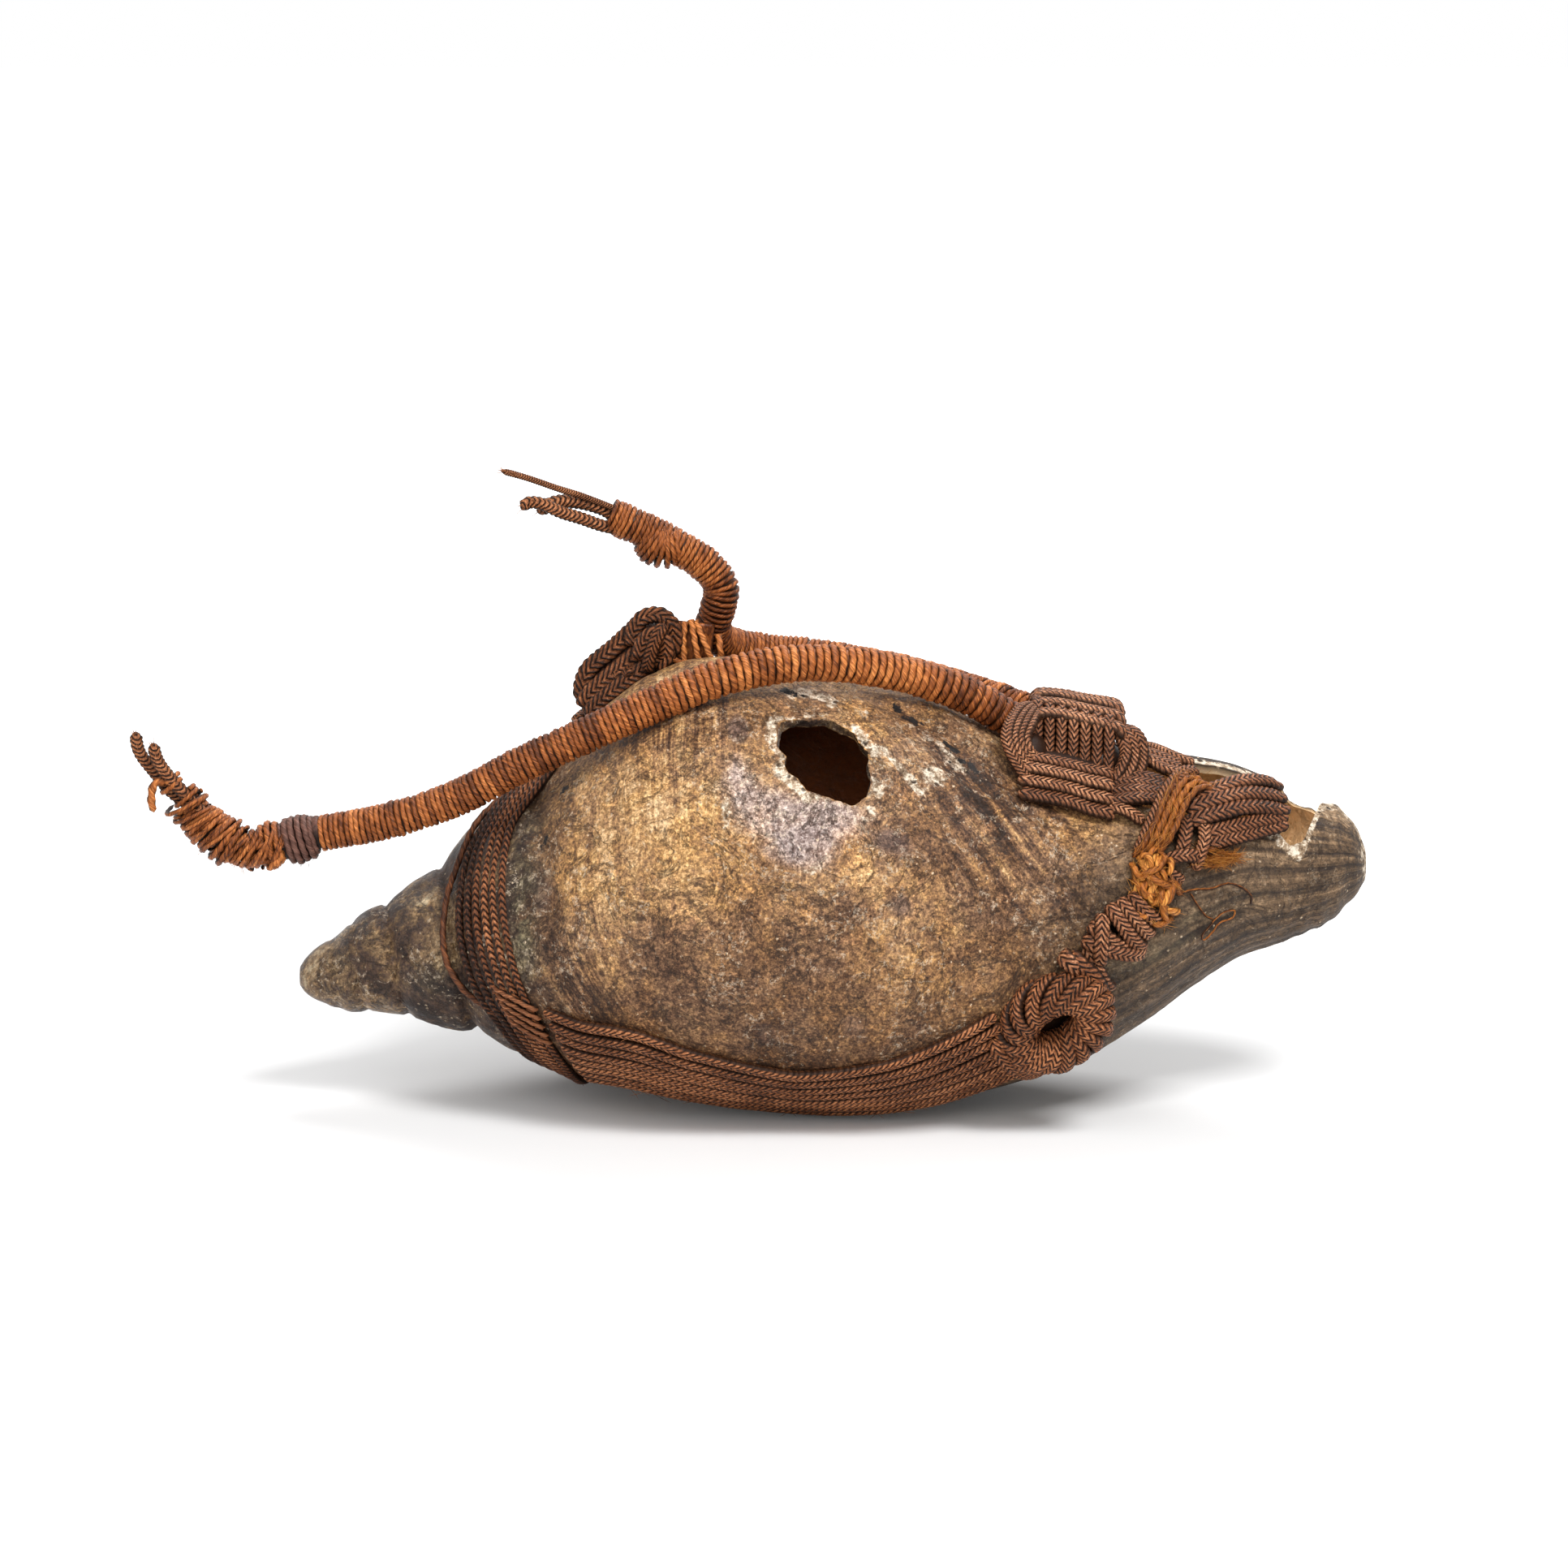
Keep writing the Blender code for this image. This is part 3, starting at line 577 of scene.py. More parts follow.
# ---------------------------------------------------------------- materials
class Nodes:
    """A short way to write a material's node tree."""

    def __init__(self, name):
        self.material = bpy.data.materials.new(name)
        self.material.use_nodes = True
        self.tree = self.material.node_tree
        self.shader = self.tree.nodes["Principled BSDF"]

    def add(self, kind, inputs=None, **settings):
        """A node with its settings and inputs, which are numbers, colours or sockets."""
        node = self.tree.nodes.new(kind)
        for key, value in settings.items():
            setattr(node, key, value)
        for key, value in (inputs or {}).items():
            self.plug(node.inputs[key], value)
        return node

    def plug(self, socket, value):
        """Set or link a socket."""
        if isinstance(value, bpy.types.NodeSocket):
            self.tree.links.new(value, socket)
        elif hasattr(value, "__len__") and len(value) == 3 and len(socket.default_value) == 4:
            socket.default_value = (*value, 1.0)
        else:
            socket.default_value = value

    def field(self, name):
        """A number kept on the mesh's vertices."""
        return self.add("ShaderNodeAttribute", attribute_name=name).outputs["Fac"]

    def place(self):
        """The place in object space."""
        return self.add("ShaderNodeTexCoord").outputs["Object"]

    def maths(self, operation, a, b=0.0, c=0.0, clamp=False):
        """One arithmetic step."""
        node = self.add("ShaderNodeMath", operation=operation, use_clamp=clamp)
        for socket, value in zip(node.inputs, (a, b, c)):
            self.plug(socket, value)
        return node.outputs[0]

    def plus(self, a, b):
        """a + b."""
        return self.maths("ADD", a, b)

    def times(self, a, b):
        """a * b."""
        return self.maths("MULTIPLY", a, b)

    def blend(self, a, b, c, clamp=False):
        """a * b + c."""
        return self.maths("MULTIPLY_ADD", a, b, c, clamp)

    def vector(self, x, y, z):
        """Three numbers as a vector."""
        return self.add("ShaderNodeCombineXYZ", {"X": x, "Y": y, "Z": z}).outputs[0]

    def vectors(self, operation, a, b):
        """One step of arithmetic on vectors."""
        return self.add("ShaderNodeVectorMath", {0: a, 1: b}, operation=operation).outputs[0]

    def noise(self, scale, detail=3.0, rough=0.6, vector=None, distortion=0.0):
        """Noise from 0 to 1 over object space, or over the given vector."""
        node = self.add("ShaderNodeTexNoise", {"Vector": vector or self.place(), "Scale": scale,
                                               "Detail": detail, "Roughness": rough,
                                               "Distortion": distortion})
        return node.outputs["Fac"]

    def spots(self, scale, vector=None, feature="F1"):
        """Distance to the nearest of scattered points."""
        node = self.add("ShaderNodeTexVoronoi", {"Vector": vector or self.place(), "Scale": scale,
                                                 "Randomness": 1.0}, feature=feature)
        return node.outputs["Distance"]

    def ramp(self, value, low, high):
        """0 below low and 1 above high."""
        node = self.add("ShaderNodeMapRange", {"Value": value, "From Min": low, "From Max": high},
                        clamp=True, interpolation_type="SMOOTHSTEP")
        return node.outputs["Result"]

    def mix(self, share, first, second, blend="MIX"):
        """Two colours mixed."""
        node = self.add("ShaderNodeMix", data_type="RGBA", blend_type=blend)
        for key, value in (("Factor_Float", share), ("A_Color", first), ("B_Color", second)):
            socket = next(s for s in node.inputs if s.identifier == key)
            self.plug(socket, value)
        return next(s for s in node.outputs if s.identifier == "Result_Color")

    def shades(self, value, stops):
        """A colour for each value, blended between (value, colour) stops."""
        node = self.add("ShaderNodeValToRGB", {"Fac": value})
        ramp = node.color_ramp
        ramp.elements[0].position, ramp.elements[-1].position = stops[0][0], stops[-1][0]
        for position, _ in stops[1:-1]:
            ramp.elements.new(position)
        for element, (_, colour) in zip(ramp.elements, stops):
            element.color = (*colour, 1.0)
        return node.outputs["Color"]

    def bump(self, height, strength, distance, normal=None):
        """Bump from a height from 0 to 1."""
        node = self.add("ShaderNodeBump", {"Height": height, "Strength": strength,
                                           "Distance": distance})
        if normal is not None:
            self.plug(node.inputs["Normal"], normal)
        return node.outputs[0]

    def finish(self, colour, roughness, normal, specular):
        """Link the shader's main sockets."""
        for name, value in (("Base Color", colour), ("Roughness", roughness), ("Normal", normal),
                            ("Specular IOR Level", specular)):
            self.plug(self.shader.inputs[name], value)
        return self.material


class ShellNodes(Nodes):
    """The shell's material, with the noises and mesh fields that its layers share."""

    def __init__(self):
        super().__init__("worn_shell")
        self.lanes, self.spire, self.canal = (self.field(k) for k in ("lanes", "spire", "canal"))
        self.where = self.place()
        self.along = self.add("ShaderNodeSeparateXYZ", {0: self.where}).outputs[0]
        self.coarse = self.noise(30.0, 6.0, 0.62, distortion=0.3)
        self.middle = self.noise(88.0, 6.0, 0.7, distortion=0.4)
        self.fine = self.noise(330.0, 5.0, 0.72)
        self.grain = self.noise(820.0, 4.0, 0.8)
        nudge = self.add("ShaderNodeTexNoise", {"Vector": self.where, "Scale": 130.0, "Detail": 3.0})
        nudge = self.vectors("MULTIPLY", nudge.outputs["Color"], (0.012, 0.012, 0.012))
        self.cracked = self.vectors("ADD", self.where, nudge)
        self.comb = self.strokes("comb_at", 0.34, 7.0, 0.0, (5.0, 0.72), -0.5, "combed")
        self.rake = self.strokes("rake_at", 0.17, 3.0, 4.0, (4.0, 0.66), -0.52, "raked")
        stripe_place = self.vector(self.times(self.lanes, 52.0), self.times(self.along, 9.0), 0.0)
        self.stripes = self.noise(1.0, 5.0, 0.66, vector=stripe_place, distortion=0.35)

    def strokes(self, across, pace, lane_pace, start, grain, centre, share):
        """Long parallel strokes, above and below 0, where the share's field is set."""
        place = self.vector(self.times(self.field(across), pace),
                            self.times(self.lanes, lane_pace), start)
        noise = self.noise(1.0, *grain, vector=place)
        return self.times(self.plus(noise, centre), self.field(share))


BODY_COLOURS = ((0.26, (0.020, 0.010, 0.006)), (0.38, (0.082, 0.042, 0.024)),
               (0.47, (0.180, 0.100, 0.055)), (0.55, (0.30, 0.176, 0.092)),
               (0.63, (0.445, 0.272, 0.125)), (0.76, (0.72, 0.52, 0.31)))
SPIRE_COLOURS = ((0.40, (0.022, 0.012, 0.009)), (0.52, (0.075, 0.042, 0.027)),
                 (0.60, (0.165, 0.098, 0.048)), (0.68, (0.33, 0.21, 0.105)),
                 (0.80, (0.58, 0.46, 0.30)))
CANAL_COLOURS = ((0.36, (0.030, 0.018, 0.012)), (0.47, (0.078, 0.048, 0.027)),
                 (0.57, (0.145, 0.088, 0.048)), (0.68, (0.28, 0.178, 0.098)),
                 (0.82, (0.54, 0.39, 0.25)))
CHALK_COLOURS = ((0.37, (0.10, 0.058, 0.032)), (0.47, (0.36, 0.25, 0.155)),
                 (0.57, (0.97, 0.84, 0.67)))
SHELL_SPECULAR, CORD_SPECULAR = 0.24, 0.17


def body_colour(n):
    """Ochre and umber skin, the umber partly painted shade; golden here, greyer there, violet edges of
    wear.
    """
    tone = n.blend(n.coarse, 0.42, n.times(n.middle, 0.34))
    tone = n.blend(n.fine, 0.56, n.blend(n.grain, 0.42, tone))
    tone = n.plus(tone, -0.318)
    for part, weight in ((n.comb, 1.45), (n.rake, 1.35), (n.field("ochre"), 0.075),
                         (n.field("umber"), -0.15)):
        tone = n.blend(part, weight, tone)
    colour = n.shades(tone, BODY_COLOURS)
    hue = n.noise(46.0, 3.0, 0.6, vector=n.vectors("ADD", n.where, (3.1, 1.7, 0.4)))
    gold = n.mix(0.6, colour, (1.14, 0.91, 0.54), blend="MULTIPLY")
    grey = n.mix(0.75, colour, (1.08, 0.98, 0.88), blend="MULTIPLY")
    colour = n.mix(n.ramp(hue, 0.40, 0.60), gold, grey)
    violet_edge = n.plus(n.field("violet"), n.blend(n.middle, 1.1, -0.55))
    purple = n.mix(n.ramp(n.fine, 0.40, 0.65), (0.090, 0.052, 0.041), (0.22, 0.140, 0.112))
    return n.mix(n.times(n.ramp(violet_edge, 0.30, 0.75), 0.8), colour, purple)


def spire_colour(n):
    """Darker, pitted skin of the spire."""
    tone = n.blend(n.middle, 0.85, n.times(n.coarse, 0.60))
    tone = n.blend(n.field("ochre"), 0.10, tone)
    return n.shades(n.blend(n.fine, 0.45, n.plus(tone, -0.430)), SPIRE_COLOURS)


def canal_colour(n):
    """Brown skin of the canal, streaked along its length."""
    tone = n.blend(n.middle, 0.45, n.blend(n.fine, 0.40, -0.18))
    tone = n.blend(n.stripes, 1.0, n.plus(tone, -0.185))
    return n.shades(n.blend(n.field("umber"), -0.10, tone), CANAL_COLOURS)


def add_growths(n, colour):
    """Green algae and lavender wear over the skin."""
    green = n.times(n.field("green"), n.ramp(n.middle, 0.38, 0.60))
    algae = n.mix(n.ramp(n.fine, 0.38, 0.66), (0.075, 0.072, 0.040), (0.33, 0.29, 0.175))
    colour = n.mix(n.times(green, 0.75), colour, algae)
    lavender_edge = n.blend(n.plus(n.middle, -0.5), 1.3, n.field("lavender"))
    violet = n.mix(n.ramp(n.fine, 0.40, 0.60), (0.20, 0.13, 0.115), (0.60, 0.48, 0.45))
    violet = n.mix(n.ramp(n.grain, 0.46, 0.80), violet, (0.84, 0.77, 0.74))
    return n.mix(n.times(n.ramp(lavender_edge, 0.30, 1.25), 0.85), colour, violet)


def add_specks(n, colour, flakes, veins):
    """Pale grains, dark specks, flakes, veins, scratches and cracks."""
    grains = n.times(n.ramp(n.spots(300.0), 0.20, 0.10), n.ramp(n.spots(70.0), 0.34, 0.55))
    colour = n.mix(n.times(grains, n.ramp(n.grain, 0.44, 0.62)), colour, (0.60, 0.46, 0.31))
    dark = n.times(n.ramp(n.spots(480.0), 0.28, 0.14), n.ramp(n.grain, 0.40, 0.58))
    colour = n.mix(n.times(dark, 0.7), colour, (0.030, 0.018, 0.013))
    flecks = n.mix(n.ramp(n.grain, 0.34, 0.68), (0.45, 0.45, 0.45), (1.55, 1.55, 1.55))
    colour = n.mix(0.8, colour, flecks, blend="MULTIPLY")
    colour = n.mix(n.times(flakes, 0.50), colour, (1.60, 1.54, 1.44), blend="MULTIPLY")
    colour = n.mix(n.times(n.ramp(veins, 0.018, 0.004), 0.6), colour, (0.040, 0.024, 0.016))
    scratches = n.maths("ABSOLUTE", n.plus(n.noise(27.0, 8.0, 0.7, vector=n.cracked), -0.47))
    scratches = n.times(n.ramp(scratches, 0.010, 0.002), n.ramp(n.fine, 0.45, 0.60))
    scratches = n.times(scratches, n.blend(n.canal, -0.7, 1.0))
    colour = n.mix(n.times(scratches, 0.75), colour, (0.66, 0.53, 0.39))
    cracks = n.ramp(n.spots(150.0, vector=n.cracked, feature="DISTANCE_TO_EDGE"), 0.06, 0.0)
    cracks = n.times(cracks, n.ramp(n.middle, 0.44, 0.60))
    return n.mix(n.times(cracks, 0.42), colour, (0.035, 0.020, 0.013))


def add_wear(n, colour, chalk, bored):
    """Chalky wear; the bored holes are painted dark as shade, and the crevices are blackened, partly as
    painted shade.
    """
    pale = n.shades(n.blend(n.fine, 0.6, n.times(n.grain, 0.4)), CHALK_COLOURS)
    # Painted shade: the bored holes in the chalk are coloured dark, as the shade inside them.
    pale = n.mix(bored, pale, (0.035, 0.022, 0.016))
    colour = n.mix(n.times(chalk, 0.92), colour, pale)
    # Near-black patches along the sunken grooves and crevices: partly painted shade.
    black_edge = n.plus(n.field("black"), n.blend(n.fine, 2.2, -1.1))
    return n.mix(n.ramp(black_edge, 0.44, 0.60), colour, (0.012, 0.009, 0.008))


def inside_colour(n):
    """Orange nacre, cream by the aperture; deep within the body, behind the blow hole, painted dark as
    shade.
    """
    # Painted shade and light: 0 deep inside the body, where the nacre is painted dark, rising to 1 towards
    # the canal.
    painted_light = n.ramp(n.along, 0.050, 0.100)
    nacre = n.mix(painted_light, (0.13, 0.040, 0.013), (1.0, 0.66, 0.34))
    cream = n.mix(n.times(painted_light, 0.5), nacre, (1.0, 0.80, 0.56))
    return n.mix(n.ramp(n.coarse, 0.40, 0.62), nacre, cream)


def shell_roughness(n, chalk):
    """Glossier patches on the spire and inside; the chalk is dull."""
    rough = n.blend(n.times(n.spire, n.ramp(n.coarse, 0.35, 0.6)), -0.36, 0.56)
    rough = n.blend(chalk, 0.28, rough)
    rough = n.blend(n.field("inside"), -0.15, rough)
    return n.blend(n.plus(n.fine, -0.5), 0.5, rough, clamp=True)


def shell_normal(n, flakes, veins, bored_chalk):
    """Fine relief from the same noises that colour the skin."""
    relief = n.blend(n.fine, 0.75, n.times(n.middle, 0.8))
    for part, weight in ((flakes, 0.35), (n.ramp(veins, 0.0, 0.02), 0.35), (n.comb, 0.9),
                         (n.rake, 1.6), (n.times(n.stripes, n.canal), 1.2)):
        relief = n.blend(part, weight, relief)
    normal = n.bump(relief, 0.75, 0.0014)
    normal = n.bump(n.grain, 0.5, 0.00045, normal)
    return n.bump(bored_chalk, 0.9, -0.0016, normal)


def shell_material():
    """Worn triton shell: ochre and umber skin, lavender and chalky wear, streaked canal."""
    n = ShellNodes()
    flakes = n.ramp(n.noise(75.0, 9.0, 0.72, vector=n.cracked, distortion=0.8), 0.53, 0.57)
    flakes = n.times(flakes, n.blend(n.canal, -0.6, 1.0))
    veins = n.maths("ABSOLUTE", n.plus(n.noise(42.0, 7.0, 0.66, distortion=1.1), -0.5))
    chalk = n.ramp(n.plus(n.field("chalk"), n.blend(n.fine, 1.3, -0.65)), 0.38, 0.74)
    bored = n.times(n.ramp(n.spots(270.0), 0.36, 0.20), n.ramp(n.noise(210.0, 2.0), 0.46, 0.60))
    colour = n.mix(n.spire, body_colour(n), spire_colour(n))
    colour = add_growths(n, n.mix(n.canal, colour, canal_colour(n)))
    colour = add_wear(n, add_specks(n, colour, flakes, veins), chalk, bored)
    colour = n.mix(n.field("inside"), colour, inside_colour(n))
    normal = shell_normal(n, flakes, veins, n.times(bored, chalk))
    return n.finish(colour, shell_roughness(n, chalk), normal, SHELL_SPECULAR)


def cord_material(name, deep, base, pale_and_highlight, gloss):
    """Plant fibre, plaited or twisted: painted shade between strands, painted highlight on crowns."""
    n = Nodes(name)
    along, across, lift, shade = (n.field(k) for k in ("along", "across", "lift", "shade"))
    fibres = n.noise(1.0, 4.0, 0.7, vector=n.vector(along, across, shade))
    patch = n.noise(60.0, 4.0, 0.6)
    fine = n.noise(900.0, 3.0, 0.7)
    wave = n.maths("SINE", n.times(n.field("weave"), math.pi))
    lobe = n.blend(n.plus(n.maths("ABSOLUTE", wave), -1.0), n.field("plait"), 1.0)
    tone = n.blend(fibres, 1.30, n.times(patch, 0.50))
    tone = n.blend(shade, 0.25, n.plus(tone, -0.445))
    # Painted highlight and shade: the plait's lobes are paler on their crowns, darker in their troughs.
    tone = n.blend(n.plus(lobe, -0.66), 0.30, tone)
    colour = n.mix(n.ramp(tone, 0.22, 0.50), deep, base)
    colour = n.mix(n.ramp(tone, 0.48, 0.76), colour, pale_and_highlight)
    # Painted shade: near black where a strand lies under or between others (low lift) and in lobe troughs.
    dark = n.mix(0.90, colour, (0.005, 0.003, 0.002))
    open_air = n.times(n.ramp(lift, 0.02, 0.66), n.ramp(lobe, 0.18, 0.84))
    colour = n.mix(open_air, dark, colour)
    # Pale flecks on the crowns that face out: partly dust, partly painted glints.
    dust_and_glints = n.times(n.ramp(fine, 0.60, 0.74), n.ramp(lift, 0.6, 1.0))
    colour = n.mix(n.times(dust_and_glints, 0.36), colour, (0.80, 0.50, 0.32))
    rough = n.blend(fibres, -0.55, gloss + 0.20, clamp=True)
    normal = n.bump(n.maths("POWER", lobe, 0.7), 1.0, 0.0006)
    normal = n.bump(n.blend(fine, 0.35, fibres), 0.7, 0.0006, normal)
    return n.finish(colour, rough, normal, CORD_SPECULAR)


# The crown colour is the pale fibre, partly painted highlight.
CORD_LOOKS = {  # deep, base and crown colour, gloss
    "dark_sennit": ((0.036, 0.012, 0.005), (0.200, 0.066, 0.024), (0.58, 0.23, 0.095), 0.52),
    "brown_sennit": ((0.042, 0.015, 0.007), (0.235, 0.084, 0.036), (0.66, 0.31, 0.155), 0.52),
    "wrapped_rope": ((0.070, 0.017, 0.004), (0.350, 0.100, 0.024), (0.85, 0.32, 0.090), 0.44),
    "dark_whipping": ((0.030, 0.013, 0.009), (0.110, 0.048, 0.034), (0.27, 0.130, 0.095), 0.52),
    "golden_coir": ((0.11, 0.030, 0.005), (0.40, 0.122, 0.020), (0.90, 0.40, 0.085), 0.46),
}
FINISH = {"shell": shell_material()}
FINISH.update({name: cord_material(name, *looks) for name, looks in CORD_LOOKS.items()})


# ---------------------------------------------------------------- strands, braids and coils
def metres(points):
    """Millimetres to metres."""
    return [tuple(c * MM for c in p) for p in points]


def run_length(path):
    """Length of a path of points, in its own unit."""
    return float(np.sum(np.linalg.norm(np.diff(path, axis=0), axis=1)))


def strand(batch, path, half_wide, half_thick, up=None, sides=7, plies=0.0, taper=0.0,
           shade=0.0, lift=None, swell=None):
    """One strand: an oval tube, ridged by its plies, that thins at its ends by taper metres."""
    side, normal = frames(path, up)[1:]
    run = np.concatenate([[0.0], np.cumsum(np.linalg.norm(np.diff(path, axis=0), axis=1))])
    angle = np.linspace(0.0, 2 * math.pi, sides, endpoint=False)
    size = np.ones(len(path)) if swell is None else swell
    if taper:
        size = size * np.sqrt(np.clip(np.minimum(run, run[-1] - run) / taper, 0.02, 1.0))
    ridge = np.ones((len(run), sides))
    wound = np.zeros((len(run), 1))
    if plies:
        ridge = 1.0 + 0.15 * np.cos(2 * angle[None, :] - 2 * math.pi * run[:, None] / plies)
        wound = run[:, None] / (2 * plies)
    a = (half_wide * size)[:, None] * ridge * np.cos(angle)[None, :]
    b = (half_thick * size)[:, None] * ridge * np.sin(angle)[None, :]
    points = path[:, None, :] + a[..., None] * side[:, None, :] + b[..., None] * normal[:, None, :]
    # Painted shade: lift is low on the strand's underside and in the grooves between its plies, and the
    # material paints it dark there.
    height = np.clip(0.15 + 0.85 * np.sin(angle), 0, 1)[None, :] + 0.0 * run[:, None]
    if lift is not None:
        height = 0.45 * height + 0.55 * lift
    if plies:
        height = height * (0.40 + 2.0 * (ridge - 0.85))
    shades = np.broadcast_to(shade, run.shape)[:, None]
    batch.grid(points, closed=True, caps=True, along=200.0 * run[:, None],
               across=10.0 * (angle[None, :] / (2 * math.pi) - wound),
               lift=np.clip(height, 0, 1), shade=shades)


def twine(batch, line, half_wide, half_thick, up=None, plies=0.0, taper=0.0, **more):
    """A strand with its sizes in mm; a line of six columns brings its way out along."""
    up = line[:, 3:] if line.shape[1] == 6 else up
    strand(batch, line[:, :3], half_wide * MM, half_thick * MM, up=up, plies=plies * MM,
           taper=taper * MM, **more)


def sennit(batch, path, up, wide, thick, shade=0.0, vee=None, slant=1.3, sides=14, per_vee=4.4,
           taper=1.4 * MM):
    """A flat plaited cord: an oval tube whose faces carry two rows of slanting lobes."""
    vee = vee or 0.38 * wide
    length = run_length(path)
    count = max(int(length / vee * per_vee), 8)
    line = curve_through(np.hstack([path, np.broadcast_to(up, path.shape)]), count=count)
    middle, out = line[:, :3], unit(line[:, 3:])
    side, normal = frames(middle, out)[1:]
    run = np.linspace(0.0, length, count)
    angle = np.linspace(0.0, 2 * math.pi, sides, endpoint=False) + 0.5 * math.pi / sides
    a, b = np.cos(angle)[None, :], np.sin(angle)[None, :]
    still = 0 * run
    wander = 0.12 * noise(np.stack([run, still + shade, still], axis=1), 9 * MM, 601, 2)
    phase = run[:, None] / vee + wander[:, None] - slant * np.abs(a) + np.where(a > 0, 0.5, 0.0)
    lobe = np.abs(np.sin(math.pi * phase)) ** 0.75
    crease = np.exp(-((a / 0.16) ** 2)) + 0.0 * lobe
    size = 1.0 + 0.20 * (lobe - 0.62) - 0.10 * crease
    ends = np.sqrt(np.clip(np.minimum(run, run[-1] - run) / taper, 0.04, 1.0))[:, None]
    uneven = noise(np.stack([run, still + 5 * shade, still], axis=1), 14 * MM, 602, 2)
    size = size * ends * (1 + 0.06 * uneven)[:, None]
    flat = np.sign(b) * np.abs(b) ** 0.8
    points = (middle[:, None, :] + (wide / 2 * size * a)[..., None] * side[:, None, :]
              + (thick / 2 * size * flat)[..., None] * normal[:, None, :])
    # Painted shade: lift falls to 0 at the cord's folded edges, in the crease down its middle and between
    # its lobes.
    height = np.clip(1.15 * lobe - 0.55 * crease, 0, 1) * (0.55 + 0.45 * np.abs(b))
    batch.grid(points, closed=True, caps=True, along=3.0 * np.abs(a) + 0.35 * run[:, None] / vee,
               across=2.6 * phase, plait=0.4 + 0.6 * np.abs(b), weave=phase,
               lift=np.clip(2.5 * np.abs(b) - 0.95, 0, 1) * (0.70 + 0.30 * height), shade=shade)


def add_fibres(batch, line, count, length, spread, seed):
    """Loose fibres that stand off a line of six columns: thin, curved and tapered. Their
    length and their distance from the line are in mm."""
    rng = np.random.default_rng(seed)
    path, out = line[:, :3], line[:, 3:]
    for _ in range(count):
        k = rng.integers(1, len(path) - 1)
        away = unit(out[k] + rng.normal(0, 0.7, 3))
        along = unit(path[min(k + 1, len(path) - 1)] - path[k - 1]) * rng.choice([-1.0, 1.0])
        reach = length * MM * rng.uniform(0.35, 1.0)
        t = np.linspace(0.0, 1.0, 5)[:, None]
        bend = unit(rng.normal(0, 1, 3)) * reach * 0.25
        start = path[k] + out[k] * (spread * MM)
        strand(batch, start + t * reach * (0.5 * away + 0.8 * along) + t * t * bend, FIBRE, FIBRE,
               sides=3, taper=0.45 * reach, shade=rng.uniform(-0.2, 0.5), lift=1.0)


def band_path(route, offset, lift):
    """Points along the shell, offset metres to the side of a route of (x in mm, turn)."""
    rough = curve_through([(x, turn, 0.0) for x, turn in route], count=140)
    x, turn = rough[:, 0] * MM, rough[:, 1]
    radius = section(x)[1]
    along = unit(np.stack([np.gradient(x), np.radians(np.gradient(turn)) * radius], axis=1))
    x2, turn2 = x + offset * along[:, 1], turn - np.degrees(offset * along[:, 0] / radius)
    place, out = on_shell(x2, turn2, lift)
    return curve_through(np.hstack([place, out]), step=BAND_STEP)


def shell_line(points, step=LINE_STEP):
    """A smooth line through (x in mm, turn in degrees, lift in mm) points over the shell, with
    the way out of the shell at each."""
    x, turn, lift = curve_through(points, count=60).T
    place, out = on_shell(x * MM, turn, lift * MM)
    return curve_through(np.hstack([place, out]), step=step)


def coil(centre, reach, turns, squash=1.0, wobble=0.05, phase=0.0, seed=1):
    """A helix round a centre line in metres, reach mm out. Each row is a point and the way
    out from the centre."""
    count = int(turns * COIL_STEPS)
    line = curve_through(centre, count=count)
    tangent, side, normal = frames(line)
    share = np.linspace(0.0, 1.0, count)
    reach = np.interp(share, np.linspace(0, 1, len(reach)), [r * MM for r in reach])
    seeds = np.stack([share * turns, np.full(count, seed * 3.7), np.zeros(count)], axis=1)
    reach = reach * (1 + wobble * noise(seeds, 0.5, 200 + seed, 2))
    theta = 2 * math.pi * turns * share + phase
    slip = noise(seeds, 0.8, 300 + seed, 1)[:, None] * tangent * wobble * float(np.mean(reach))
    out = np.cos(theta)[:, None] * side + squash * np.sin(theta)[:, None] * normal
    return np.hstack([line + out * reach[:, None] + slip, unit(out)])


def wind(batch, centre, reach, turns, half_wide, half_thick, shade, plies=4.0, **more):
    """Twine wound round a centre line, all in mm; gives its line."""
    line = coil(metres(centre), reach, turns, **more)
    twine(batch, line, half_wide, half_thick, plies=plies, shade=shade)
    return line


